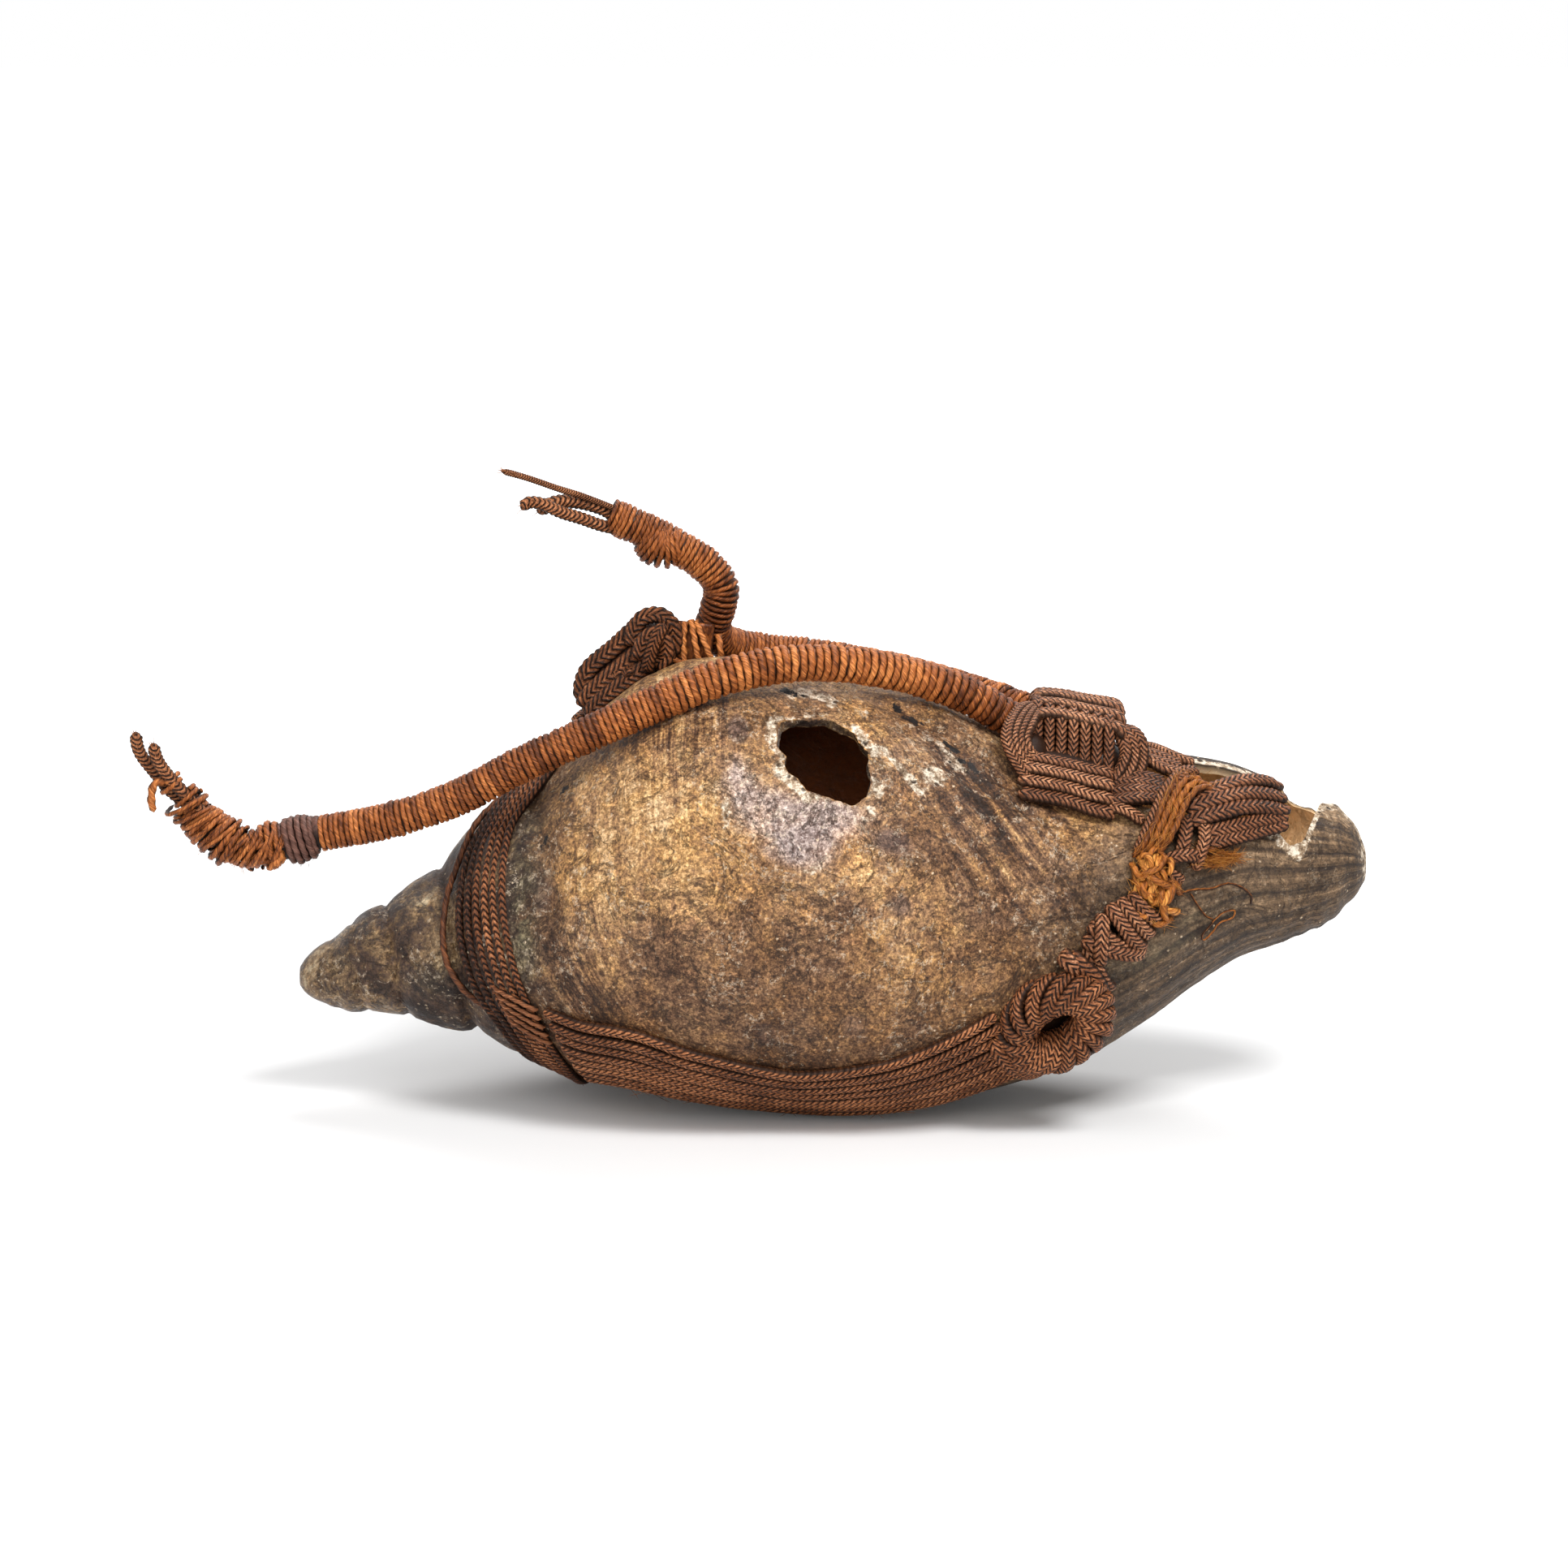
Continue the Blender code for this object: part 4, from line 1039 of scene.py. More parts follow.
def wrapped_rope(name, route, pitch):
    """A cord core with twine wound round it turn by turn, a little loose and uneven."""
    batch = Batch()
    line = curve_through(metres(route), step=ROUTE_STEP)
    length = run_length(line)
    run = np.linspace(0.0, length, len(line))
    core = ROPE / 2 - 1.15 * MM
    # Painted shade: the core is near black (lift 0), as the shade seen between the turns of twine.
    strand(batch, line, core, core, sides=14, shade=-0.4, lift=0.0, taper=0.8 * MM)
    spacing = np.interp(run / length, [p[0] for p in pitch], [p[1] * MM for p in pitch])
    turns = np.concatenate([[0.0], np.cumsum(np.diff(run) / spacing[1:])])
    fine = np.linspace(0.0, turns[-1], int(turns[-1] * ROPE_STEPS))
    at = np.interp(fine, turns, run)
    where, tan, s, nrm = (np.stack([np.interp(at, run, column) for column in part.T], axis=1)
                          for part in (line, *frames(line)))
    rough = RNG.normal(0.0, 1.0, int(turns[-1]) + 3)
    shade = RNG.uniform(-0.45, 0.35, int(turns[-1]) + 3)
    index = np.floor(fine).astype(int)
    blend = step_between(0.0, 1.0, fine - index)
    bump = rough[index] * (1 - blend) + rough[index + 1] * blend
    lean = np.sin(2 * math.pi * fine) * 0.12
    reach = ROPE / 2 - 0.75 * MM + 0.16 * MM * bump
    theta = 2 * math.pi * fine
    out = np.cos(theta)[:, None] * unit(s) + np.sin(theta)[:, None] * unit(nrm)
    pace = np.interp(at, run, spacing)
    path = where + out * reach[:, None] + unit(tan) * ((0.13 * bump + lean) * pace)[:, None]
    mean = float(np.mean(spacing))
    dim = 0.5 * at / length + 0.35 * np.exp(-((at / length - 0.70) / 0.12) ** 2)
    dim += 0.7 * np.exp(-((at / length - 0.06) / 0.12) ** 2)
    strand(batch, path, 0.475 * mean, 0.95 * MM, up=out, sides=9, plies=3.2 * MM,
           shade=shade[index] - dim, swell=0.12 + 0.88 * (pace / mean))
    return batch.build(name, FINISH["wrapped_rope"]), line, length


def finish_piece(batch, name, slot, node):
    """Build the batch, in place of its CAD node."""
    piece = batch.build(name, FINISH[slot])
    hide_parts(node)
    return piece


# ---------------------------------------------------------------- camera, light and floor
VIEW_TILT = math.radians(12.0)
VIEW_DISTANCE = 1.8
VIEW_WIDTH = 0.5796
LOOK_AT = np.array([-17.4 * MM, 0.0, 119.7 * MM])
LAMPS = {  # place, size, power
    "key": ((0.55, -0.85, 1.40), 0.55, 21.5),
    "fill": ((-0.42, -1.15, 1.05), 1.6, 15.5),
    "back": ((0.30, 0.80, 1.35), 0.9, 15.0),
}
LAMP_TARGET = Vector((0.0, 0.0, 0.07))
AMBIENT = 0.24
FLOOR_REACH = 6.0
FLOOR_LIFT = 0.03


def add_camera():
    """The photograph's view: from the front and a little above."""
    data = bpy.data.cameras.new("camera")
    data.sensor_width = 36.0
    data.lens = 36.0 * VIEW_DISTANCE / VIEW_WIDTH
    data.clip_start = 0.05
    camera = bpy.data.objects.new("camera", data)
    away = np.array([0.0, -math.cos(VIEW_TILT), math.sin(VIEW_TILT)])
    camera.location = LOOK_AT + VIEW_DISTANCE * away
    camera.rotation_euler = (math.pi / 2 - VIEW_TILT, 0.0, 0.0)
    bpy.context.scene.collection.objects.link(camera)
    bpy.context.scene.camera = camera


def add_lamp(name, place, size, power):
    """A soft square lamp aimed at the shell."""
    data = bpy.data.lights.new(name, "AREA")
    data.shape, data.size, data.energy = "SQUARE", size, power
    lamp = bpy.data.objects.new(name, data)
    lamp.location = place
    lamp.rotation_euler = (LAMP_TARGET - Vector(place)).to_track_quat("-Z", "Y").to_euler()
    bpy.context.scene.collection.objects.link(lamp)


def white_world():
    """Even studio light; the camera, gloss and glass see white."""
    world = bpy.data.worlds.new("studio")
    bpy.context.scene.world = world
    world.use_nodes = True
    tree = world.node_tree
    background = tree.nodes["Background"]
    background.inputs["Color"].default_value = (1.0, 1.0, 1.0, 1.0)
    path = tree.nodes.new("ShaderNodeLightPath")
    seen = path.outputs["Is Camera Ray"]
    for ray in ("Is Glossy Ray", "Is Transmission Ray"):
        either = tree.nodes.new("ShaderNodeMath")
        either.operation = "MAXIMUM"
        tree.links.new(seen, either.inputs[0])
        tree.links.new(path.outputs[ray], either.inputs[1])
        seen = either.outputs[0]
    level = tree.nodes.new("ShaderNodeMapRange")
    level.inputs["To Min"].default_value = AMBIENT
    level.inputs["To Max"].default_value = 1.0
    tree.links.new(seen, level.inputs["Value"])
    tree.links.new(level.outputs[0], background.inputs["Strength"])


def add_floor():
    """A plain white sweep that keeps the soft shadow under the shell."""
    n = Nodes("floor")
    n.shader.inputs["Base Color"].default_value = (0.86, 0.86, 0.86, 1.0)
    n.shader.inputs["Roughness"].default_value = 0.95
    n.shader.inputs["Specular IOR Level"].default_value = 0.0
    n.shader.inputs["Emission Color"].default_value = (1.0, 1.0, 1.0, 1.0)
    seen = n.add("ShaderNodeLightPath").outputs["Is Camera Ray"]
    away = n.add("ShaderNodeVectorMath", {0: n.place()}, operation="LENGTH").outputs["Value"]
    lift = n.blend(n.ramp(away, 0.30, 1.0), 1.0 - FLOOR_LIFT, FLOOR_LIFT)
    n.plug(n.shader.inputs["Emission Strength"], n.times(seen, lift))
    mesh = bpy.data.meshes.new("floor")
    corners = [(x * FLOOR_REACH, y * FLOOR_REACH, 0) for x, y in ((-1, -1), (1, -1), (1, 1), (-1, 1))]
    mesh.from_pydata(corners, [], [(0, 1, 2, 3)])
    mesh.materials.append(n.material)
    floor = bpy.data.objects.new("floor", mesh)
    bpy.context.scene.collection.objects.link(floor)


add_camera()
white_world()
add_floor()
for lamp_name, settings in LAMPS.items():
    add_lamp(lamp_name, *settings)
bpy.context.scene.view_settings.view_transform = "Standard"


# ---------------------------------------------------------------- the cord bands
SPIRE_COUNT, SPIRE_WIDE, SPIRE_PITCH = 6, 2.9 * MM, 3.3 * MM
SPIRE_SHADES = (-0.5, 0, 0.1, -0.3, -1, -1.2)
SPIRE_ROUTE = (  # x in mm, turn in degrees
    (-95, 98), (-101, 90), (-109, 76), (-122, 62), (-126.5, 45), (-127.5, 17), (-122.5, -14),
    (-113, -42), (-106, -60), (-100.5, -80), (-95, -110), (-88, -140), (-82, -170), (-78, -200),
    (-76, -222), (-75.5, -238),
)
STRAY_ROUTE = (
    (-119, 84), (-125.5, 79), (-131, 72), (-134.5, 64), (-138.3, 52), (-140.8, 40), (-142, 20),
    (-141, 2), (-137.5, -12), (-133.5, -22), (-127, -31), (-121, -38),
)
# The short turns that cross the stray cord's end: x in mm and what each later one adds to it,
# turn, lift in mm.
CROSSING = ((-124.5, 1.3, -17, 1), (-121.5, 1.3, -19, 3.6), (-115, 1.2, -22, 4.2),
            (-109, 1.2, -25, 3.4), (-106.5, 1.2, -27, 1))
BELLY_COUNT, BELLY_WIDE, BELLY_PITCH = 8, 4.3 * MM, 5.0 * MM
BELLY_START, BELLY_START_STEP = -105.5, 2.0
BELLY_ROUTE = (
    (-110, -44.5), (-80, -44), (-54, -49), (-19, -54.5), (-4, -54), (16, -50.5), (37, -45.5),
    (59, -37.5), (67, -34),
)


def build_spire_band():
    """Six braided turns round the spire and the thin cord that strays to their left."""
    for n in range(SPIRE_COUNT):
        batch = Batch()
        offset = (n - (SPIRE_COUNT - 1) / 2) * SPIRE_PITCH
        line = band_path(SPIRE_ROUTE, offset, 1.5 * MM)
        seeds = line[:, :3].copy()
        line[:, :3] += line[:, 3:] * (0.35 * MM * (1 + noise(seeds, 18 * MM, 400 + n, 2)))[:, None]
        line[:, 0] += 0.35 * MM * noise(seeds, 26 * MM, 420 + n, 2)
        sennit(batch, line[:, :3], line[:, 3:], SPIRE_WIDE, 2.8 * MM, vee=2.5 * MM, sides=12,
               slant=0.9, per_vee=6, shade=SPIRE_SHADES[n])
        add_fibres(batch, line, 14, 5, 1.2, seed=20 + n)
        finish_piece(batch, f"spire_braid_{n + 1}", "dark_sennit", f"spire_cord_{n + 1}")
    batch = Batch()
    line = band_path(STRAY_ROUTE, 0.0, 1.4 * MM)
    share = np.linspace(0, 1, len(line))
    arch = 1.6 * np.sin(math.pi * share) ** 2 + 3.4 * np.exp(-((share - 0.20) / 0.13) ** 2)
    line[:, :3] += line[:, 3:] * (arch * MM)[:, None]
    twine(batch, line, 1.2, 1.2, sides=9, plies=5.5, taper=1.5, shade=-0.9)
    for k in range(5):
        line = shell_line([(x + add * k, turn - 4.0 * k, lift) for x, add, turn, lift in CROSSING],
                          step=FINE_STEP)
        twine(batch, line, 0.95, 0.75, plies=4, taper=1.2, shade=RNG.uniform(-0.3, 0.2))
    finish_piece(batch, "spire_stray_cord", "dark_sennit", "spire_stray_cord")


def build_belly_band():
    """Eight flat braids along the belly, from under the spire band into the belly knot."""
    for n in range(BELLY_COUNT):
        batch = Batch()
        offset = (n - (BELLY_COUNT - 1) / 2) * BELLY_PITCH
        line = band_path(BELLY_ROUTE, offset, 1.55 * MM)
        line = line[line[:, 0] > (BELLY_START + n * BELLY_START_STEP) * MM]
        line[:, :3] += line[:, 3:] * (0.3 * MM * (1 + noise(line[:, :3], 22 * MM, 440 + n, 2)))[:, None]
        line[:, 2] += 0.5 * MM * noise(line[:, :3], 40 * MM, 460 + n, 1)
        sennit(batch, line[:, :3], line[:, 3:], BELLY_WIDE, 3.4 * MM, vee=2.4 * MM,
               shade=RNG.uniform(0.0, 0.55))
        add_fibres(batch, line, 16, 6, 1.4, seed=40 + n)
        finish_piece(batch, f"belly_braid_{n + 1}", "dark_sennit", f"belly_cord_{n + 1}")


# ---------------------------------------------------------------- the broken handle, in mm
FRONT_ROPE_ROUTE = (
    (76, -7, 139), (62, -9, 148), (46, -12, 157), (25, -17, 164.5), (4, -25, 169.5),
    (-19, -32, 170.5), (-43, -38, 166), (-66, -42, 157), (-89, -45, 147), (-113, -46, 136),
    (-136, -46, 124), (-160, -46, 116), (-185, -45, 111),
)
REAR_ROPE_ROUTE = (
    (86, 8, 139), (72, 13, 145), (54, 25, 149), (27, 41, 154), (-3, 50, 158), (-23, 51, 160),
    (-38, 45, 164), (-44, 38, 171), (-42, 33, 180), (-41, 31, 189), (-47, 30, 197),
    (-56, 29, 203), (-68, 28, 209.5), (-82, 27, 216),
)
# Spacing of the twine's turns: share of the rope's length, mm.
FRONT_PITCH = ((0, 3.1), (0.45, 2.9), (0.55, 2.1), (1, 1.9))
REAR_PITCH = ((0, 2.2), (1, 1.8))
TAILS = {  # node: route, width
    "handle_front_tail_1": ([(-224, -44, 114), (-228.9, -44, 118.5), (-233.9, -43.5, 122.5),
                             (-239, -43, 126.7), (-244.2, -43, 133.1), (-249.4, -43, 140.5),
                             (-250.9, -43, 148)], 4.6),
    "handle_front_tail_2": ([(-223, -48, 117), (-228.8, -48, 121.3), (-233.6, -48, 127),
                             (-238, -48, 132), (-242.2, -48.3, 138.4), (-244, -48.5, 145)], 4.6),
    "handle_rear_tail_1": ([(-79, 27, 218), (-92, 27, 223), (-101, 26, 226), (-112, 25, 230),
                            (-122, 24, 233)], 2.4),
    "handle_rear_tail_2": ([(-79, 29, 214), (-85, 29, 218), (-94, 29, 220.5), (-102.3, 28.5, 220.5),
                            (-109, 28.3, 216.8)], 5),
    "handle_rear_tail_3": ([(-78, 24.5, 211), (-85, 24, 212.5), (-92.7, 24, 215.2), (-100, 24, 217.5),
                            (-107, 24, 220.6), (-112, 24, 221), (-114.5, 24, 218.4)], 4.6),
}
TAIL_OUT = np.array([0.0, -1.0, 0.25])
KNOT_RINGS = (  # ends of the centre line, reach along it, turns
    (((-200, -45, 108), (-206, -45.5, 106.5)), (6.6, 7.6, 6.4), 3),
    (((-206, -46, 109.5), (-203.5, -46, 101.5)), (7.6, 6.2, 5), 2.6),
    (((-199.5, -46, 104), (-210.5, -46, 107.5)), (5.4, 7.6, 6.4), 2.4),
    (((-208, -45, 104), (-213.5, -45.5, 106.5)), (7.4, 6.2, 5.8), 2),
)
WRAP_CENTRE = ((-212, -46, 105), (-220, -45.5, 109), (-227, -44.5, 114.5), (-233, -44, 120.5))
WRAP_REACHES = ((5.4, 8, 7.2, 4.6), (5, 7, 7.8, 3.8), (6, 8.4, 6, 5))
WRAP_LOOPS = (((-229.5, -45.5, 121.5), 5.2), ((-232.5, -45.5, 124), 4.8), ((-237.5, -45, 129), 4.4))
STUB_ROUTE = ((-238, -47, 131), (-243.6, -48, 130), (-245, -48, 124), (-244.2, -48, 119.5))


def loose_loops(batch, route, count, reach, seed):
    """Thin loops of twine that stand a little off the windings."""
    line = curve_through(metres(route), count=count + 1)
    for n in range(count):
        ends = np.array([line[n], line[n + 1] + np.array([0.0, 0.0, 1.5 * MM])])
        loop = coil(ends, (reach, 1.12 * reach, reach), 1.3, squash=0.88, wobble=0.24,
                    phase=2.3 * n, seed=seed + n)
        twine(batch, loop, 0.8, 0.7, plies=3, taper=1, shade=0.3 * (n % 3) - 0.7)


def add_core(batch, route, half_wide, half_thick, **more):
    """A plain cord inside the windings."""
    twine(batch, curve_through(metres(route), step=ROUTE_STEP), half_wide, half_thick, **more)


def build_front_whipping():
    """The dark whipping round the end of the front rope."""
    batch = Batch()
    line = wind(batch, ((-186.5, -45, 111), (-197.5, -45, 107.3)), (5.9, 7.7, 8, 6.3), 5.5,
                1.25, 1, shade=0, wobble=0.11, seed=4)
    add_core(batch, ((-184, -45, 112), (-199, -45, 107)), 6, 6, sides=12, shade=-0.4)
    add_fibres(batch, line, 20, 5, 1, seed=5)
    finish_piece(batch, "front_whipping", "dark_whipping", "handle_front_ring")


def build_front_knot():
    """The knot beyond the whipping: crossing rings, a small ball below and loose loops."""
    batch = Batch()
    for n, (centre, reach, turns) in enumerate(KNOT_RINGS):
        line = wind(batch, centre, reach, turns, 1.2, 1, shade=-0.25 - 0.2 * n, wobble=0.16,
                    phase=1.7 * n, seed=11 + n)
    for n in range(5):
        wind(batch, ((-202.6 + 0.6 * n, -50, 103.5), (-199.2, -50 + n, 101.3 + n)),
             (2, 3.6, 1.6), 1.6, 1.1, 0.9, shade=0.1, plies=3, wobble=0.12, phase=1.3 * n,
             seed=31 + n)
    loose_loops(batch, ((-198.5, -45.5, 106.5), (-205, -46, 105), (-213, -46, 105.5)), 6, 8, 41)
    # Painted shade: the core is near black (lift 0), as the shade inside the rings.
    add_core(batch, ((-197, -45, 107), (-213, -46, 105)), 4.4, 4.4, sides=10, shade=-0.3, lift=0)
    add_fibres(batch, line, 26, 6, 1, seed=6)
    finish_piece(batch, "front_knot", "wrapped_rope", "handle_front_knot")


def build_front_wraps():
    """The loose wraps and the bent stub at the broken end."""
    batch = Batch()
    for n, reach in enumerate(WRAP_REACHES):
        line = wind(batch, WRAP_CENTRE, reach, 4.6, 1.1, 0.9, shade=-0.2 - 0.25 * n, wobble=0.20,
                    phase=2.0 * n, seed=7 + n)
    for n, ((x, y, z), reach) in enumerate(WRAP_LOOPS):
        wind(batch, ((x, y, z), (x - 1.5, y, z + 1.6)), (reach, reach), 1.2, 0.9, 0.8,
             shade=0.2 * n - 0.5, plies=3, wobble=0.15, phase=n, seed=21 + n)
    loose_loops(batch, ((-214, -46, 106), (-224, -45, 112.5), (-234, -44, 121.5)), 8, 7.6, 61)
    twine(batch, curve_through(metres(STUB_ROUTE), step=ROUTE_STEP), 1.5, 1.2, up=(0, -1, 0),
          plies=4, shade=-0.1, taper=1.5)
    # Painted shade: the core is near black (lift 0), as the shade between the loose wraps.
    add_core(batch, WRAP_CENTRE, 4.6, 4.6, sides=10, shade=-0.3, lift=0)
    add_fibres(batch, line, 30, 7, 1, seed=8)
    finish_piece(batch, "front_wraps", "wrapped_rope", "handle_front_wraps")


def build_tails():
    """The frayed braids that stick out of both broken ends."""
    for node, (route, wide) in TAILS.items():
        batch = Batch()
        path = curve_through(metres(route), step=ROUTE_STEP)
        sennit(batch, path, TAIL_OUT, wide * MM, 0.8 * wide * MM, shade=0.15, sides=12, taper=2 * MM)
        line = np.hstack([path, np.broadcast_to(TAIL_OUT, path.shape)])
        add_fibres(batch, line, 12, 5, 0.5, seed=len(node))
        add_fibres(batch, line[-6:], 30, 5, 0.5, seed=9)
        finish_piece(batch, node.replace("handle_", ""), "dark_sennit", node)


def build_handle():
    """Both stumps of the rope handle and everything that is bound to their ends."""
    build_front_whipping()
    build_front_knot()
    build_front_wraps()
    build_tails()
    front, line, length = wrapped_rope("front_rope", FRONT_ROPE_ROUTE, FRONT_PITCH)
    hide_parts("handle_rope_front")
    rear, line, length = wrapped_rope("rear_rope", REAR_ROPE_ROUTE, REAR_PITCH)
    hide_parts("handle_rope_rear")


# ---------------------------------------------------------------- knots and lashings
# Places on the shell are (x in mm, turn in degrees) or (x, turn, lift in mm); sizes are in mm.
def sennit_over(batch, points, wide=5.6, thick=3.8, shade=None, lean=0.0, vee=None):
    """A sennit laid over the shell through (x, turn, lift) points."""
    line = shell_line(points)
    out = line[:, 3:]
    if lean:
        tangent = frames(line[:, :3], out)[0]
        out = unit(out + math.tan(math.radians(lean)) * np.cross(tangent, out))
    shade = RNG.uniform(-0.25, 0.25) if shade is None else shade
    sennit(batch, line[:, :3], out, wide * MM, thick * MM, shade=shade, vee=vee)
    add_fibres(batch, line, 3, 4, 0.45 * thick, seed=int(RNG.integers(1, 9999)))


def sennit_free(batch, points, wide, shade):
    """A sennit through points in mm that stand clear of the shell."""
    path = curve_through(metres(points), step=ROUTE_STEP)
    sennit(batch, path, FREE_OUT, wide * MM, 4.0 * MM, shade=shade)
    line = np.hstack([path, np.broadcast_to(FREE_OUT, path.shape)])
    add_fibres(batch, line, 4, 4, 0.45 * 4.0, seed=int(RNG.integers(1, 9999)))


def sennit_arch(batch, start, stop, rise, wide):
    """A sennit that climbs from one (x, turn) place to another over the height rise."""
    points = []
    for share in np.linspace(0, 1, 9):
        ease = 0.5 - 0.5 * math.cos(math.pi * share)
        x, turn = (a + (b - a) * ease for a, b in zip(start, stop))
        lift = ARCH_FOOT + (rise - ARCH_FOOT) * math.sin(math.pi * share) ** 0.7
        points.append((x, turn, lift))
    sennit_over(batch, points, wide)


def core_lump(batch, x, turn, size, height, tilt=0.0):
    """A filling inside a knot, so that no light shows through it, coloured near black as painted shade."""
    radius = float(section(x * MM)[1]) / MM
    c, s = math.cos(math.radians(tilt)), math.sin(math.radians(tilt))
    angle = np.linspace(0, 2 * math.pi, 24, endpoint=False)
    rows = []
    for share in np.linspace(0.02, 1, 9):
        u, v = size[0] / 2 * share * np.cos(angle), size[1] / 2 * share * np.sin(angle)
        lift = CORE_FOOT + (height - CORE_FOOT) * math.sqrt(max(1 - share**3, 0.0)) + 0 * u
        climb = np.degrees((u * s + v * c) / radius)
        rows.append(on_shell((x + (u * c - v * s)) * MM, turn + climb, lift * MM)[0])
    # Painted shade: shade -0.9 and lift 0 make the filling near black.
    batch.grid(np.array(rows), closed=True, caps=True, shade=-0.9, lift=0)


BLOCK_CORES = ((87, 67, (36, 24), 8, -14), (99, 74, (18, 16), 10), (73, 74, (14, 18), 11),
               (90, 84, (30, 14), 15.5, -14))
LOW_LAYS = (7.2, 6.4, 4.6, 2.8)
TOP_LAYS = (17.6, 19.4, 20.6, 20.4, 19)
# Upright loops: x and turn from the loop's own place, lift.
UPRIGHT = ((-0.6, -8, 3.6), (-0.4, -4.5, 6.4), (-0.1, -1.5, 10), (0, 0.6, 13.6),
           (0.1, 2.6, 16.6), (0.2, 7, 18.2), (0.3, 14, 16.4), (0.3, 20, 9))


def build_block_knot():
    """The block of sennit on the shell's shoulder: four long lays below, a row of upright
    loops over a dark gap, five lays on top and a bundle that turns round either end."""
    batch = Batch()
    for core in BLOCK_CORES:
        core_lump(batch, *core)
    for k, lift in enumerate(LOW_LAYS):
        drop = 4.3 * k
        sennit_over(batch, [(68.5, 67.5 - drop, lift - 2), (70.5, 66.0 - drop, lift),
                            (78, 65.4 - drop, lift + 0.6), (86, 64.2 - drop, lift + 0.7),
                            (94, 62.8 - 1.1 * drop, lift + 0.4), (99.5, 61.8 - 1.15 * drop, lift),
                            (101.5, 61.2 - 1.15 * drop, lift - 2.2)], wide=5.4, thick=4)
    sennit_over(batch, [(56, 85, 1.2), (61, 83.4, 3), (67, 80.5, 5), (72, 77, 7)], wide=5.2)
    for k in range(7):
        x, turn = 75.4 + 4.3 * k, 79.0 - 1.15 * k
        sennit_over(batch, [(x + dx, turn + dturn, lift) for dx, dturn, lift in UPRIGHT],
                    wide=4.1, thick=5.0, shade=-0.15, vee=2.4 * MM)
    for k, lift in enumerate(TOP_LAYS):
        turn = 79.6 + 5.0 * k
        sennit_over(batch, [(74.6, turn + 0.8, lift - 4.5), (76.4, turn + 0.4, lift - 0.8),
                            (83, turn, lift + 0.4), (92, turn - 1.4, lift + 0.4),
                            (101, turn - 3.8, lift), (105, turn - 5.2, lift - 0.8),
                            (106.6, turn - 5.6, lift - 4.6)], shade=0.25)
    for k in range(4):
        inward = 2.3 * k
        sennit_over(batch, [(73.5 + 0.4 * inward, 57.0 + 2.6 * k, 2.6),
                            (68.5 + inward, 60.5 + 1.8 * k, 5.5), (64.6 + inward, 63.5 + 0.9 * k, 9.6),
                            (63.4 + inward, 67.5 + 0.6 * k, 12.2), (65.6 + inward, 74, 15),
                            (70.5 + 0.7 * inward, 81.5, 17.2 - 0.3 * k), (77, 88, 15)],
                    wide=4.6, lean=-22)
    for k in range(3):
        outward = 3.1 * k
        sennit_over(batch, [(98, 80, 13), (103.4 + 0.8 * outward, 76.6, 14.8),
                            (106.4 + outward, 72.8, 12.6), (107.2 + outward, 69, 9.2 - 0.6 * k),
                            (105.2 + outward, 64.6 - k, 6.2 - 0.8 * k),
                            (101.6 + 0.6 * outward, 60.6 - 2 * k, 3.4)], wide=4.8, lean=20)
    finish_piece(batch, "block_sennits", "brown_sennit", "block_knot")


def wound_ring(batch, x, turn, lift, radii, tube, count, wide, lean, spread, tilt):
    """Sennits wound side by side round a ring that lies on the shell; spread is where the
    first and the last are."""
    centre, out = (part[0] for part in on_shell(np.array([x * MM]), np.array([turn]), lift * MM))
    across = np.array([1.0, 0.0, 0.0])
    climb = np.cross(out, across)
    if climb[2] < 0:
        climb = -climb
    c, s = math.cos(math.radians(tilt)), math.sin(math.radians(tilt))
    long, short = across * c + climb * s, climb * c - across * s
    psi = np.radians(np.linspace(-62, 236, 22))
    for phi in np.linspace(math.radians(spread[0]), math.radians(spread[1]), count):
        around = phi + math.radians(lean) * (psi - math.pi / 2)
        spine = (long * (radii[0] * np.cos(around))[:, None]
                 + short * (radii[1] * np.sin(around))[:, None]) * MM
        way = unit(spine) * np.cos(psi)[:, None] + out * np.sin(psi)[:, None]
        size = tube * (1 + RNG.uniform(-0.07, 0.07))
        sennit(batch, centre + spine + way * (size * MM), way, wide * MM, 0.76 * wide * MM,
               shade=RNG.uniform(-0.2, 0.25))


def build_belly_knot():
    """The big coiled knot that ends the belly band, with the dark hollow it turns round."""
    batch = Batch()
    core_lump(batch, 80, -26, (34, 22), 1.6, tilt=44)
    wound_ring(batch, 80.5, -24.5, 6, (16, 11.5), 6.2, 17, 5.6, 14, (-150, 200), tilt=46)
    sennit_over(batch, [(58, -29, 2), (61, -33, 6), (66.5, -39.5, 7.4), (72, -46, 6),
                        (77.5, -49.5, 3.6)], wide=6, thick=4.6)
    sennit_over(batch, [(86, -2.6, 3), (88.5, -4, 8.4), (93.5, -8.8, 9.6), (97, -16.4, 8),
                        (96.8, -24, 5), (92.5, -29, 3)], wide=6.2, thick=4.8)
    add_fuzz(batch, 79, -22, 20, 18, 8, 60)
    finish_piece(batch, "belly_coils", "dark_sennit", "belly_knot")


def add_fuzz(batch, x, turn, reach_x, reach_turn, lift, count):
    """Short loose fibres scattered over a knot."""
    spots = [(x + RNG.uniform(-reach_x, reach_x), turn + RNG.uniform(-reach_turn, reach_turn))
             for _ in range(count)]
    for at_x, at_turn in spots:
        line = shell_line([(at_x, at_turn, lift - 1.5), (at_x + 1, at_turn, lift),
                           (at_x + 2, at_turn, lift)])
        add_fibres(batch, line, 1, 4.5, 0.4, seed=int(RNG.integers(1, 9999)))


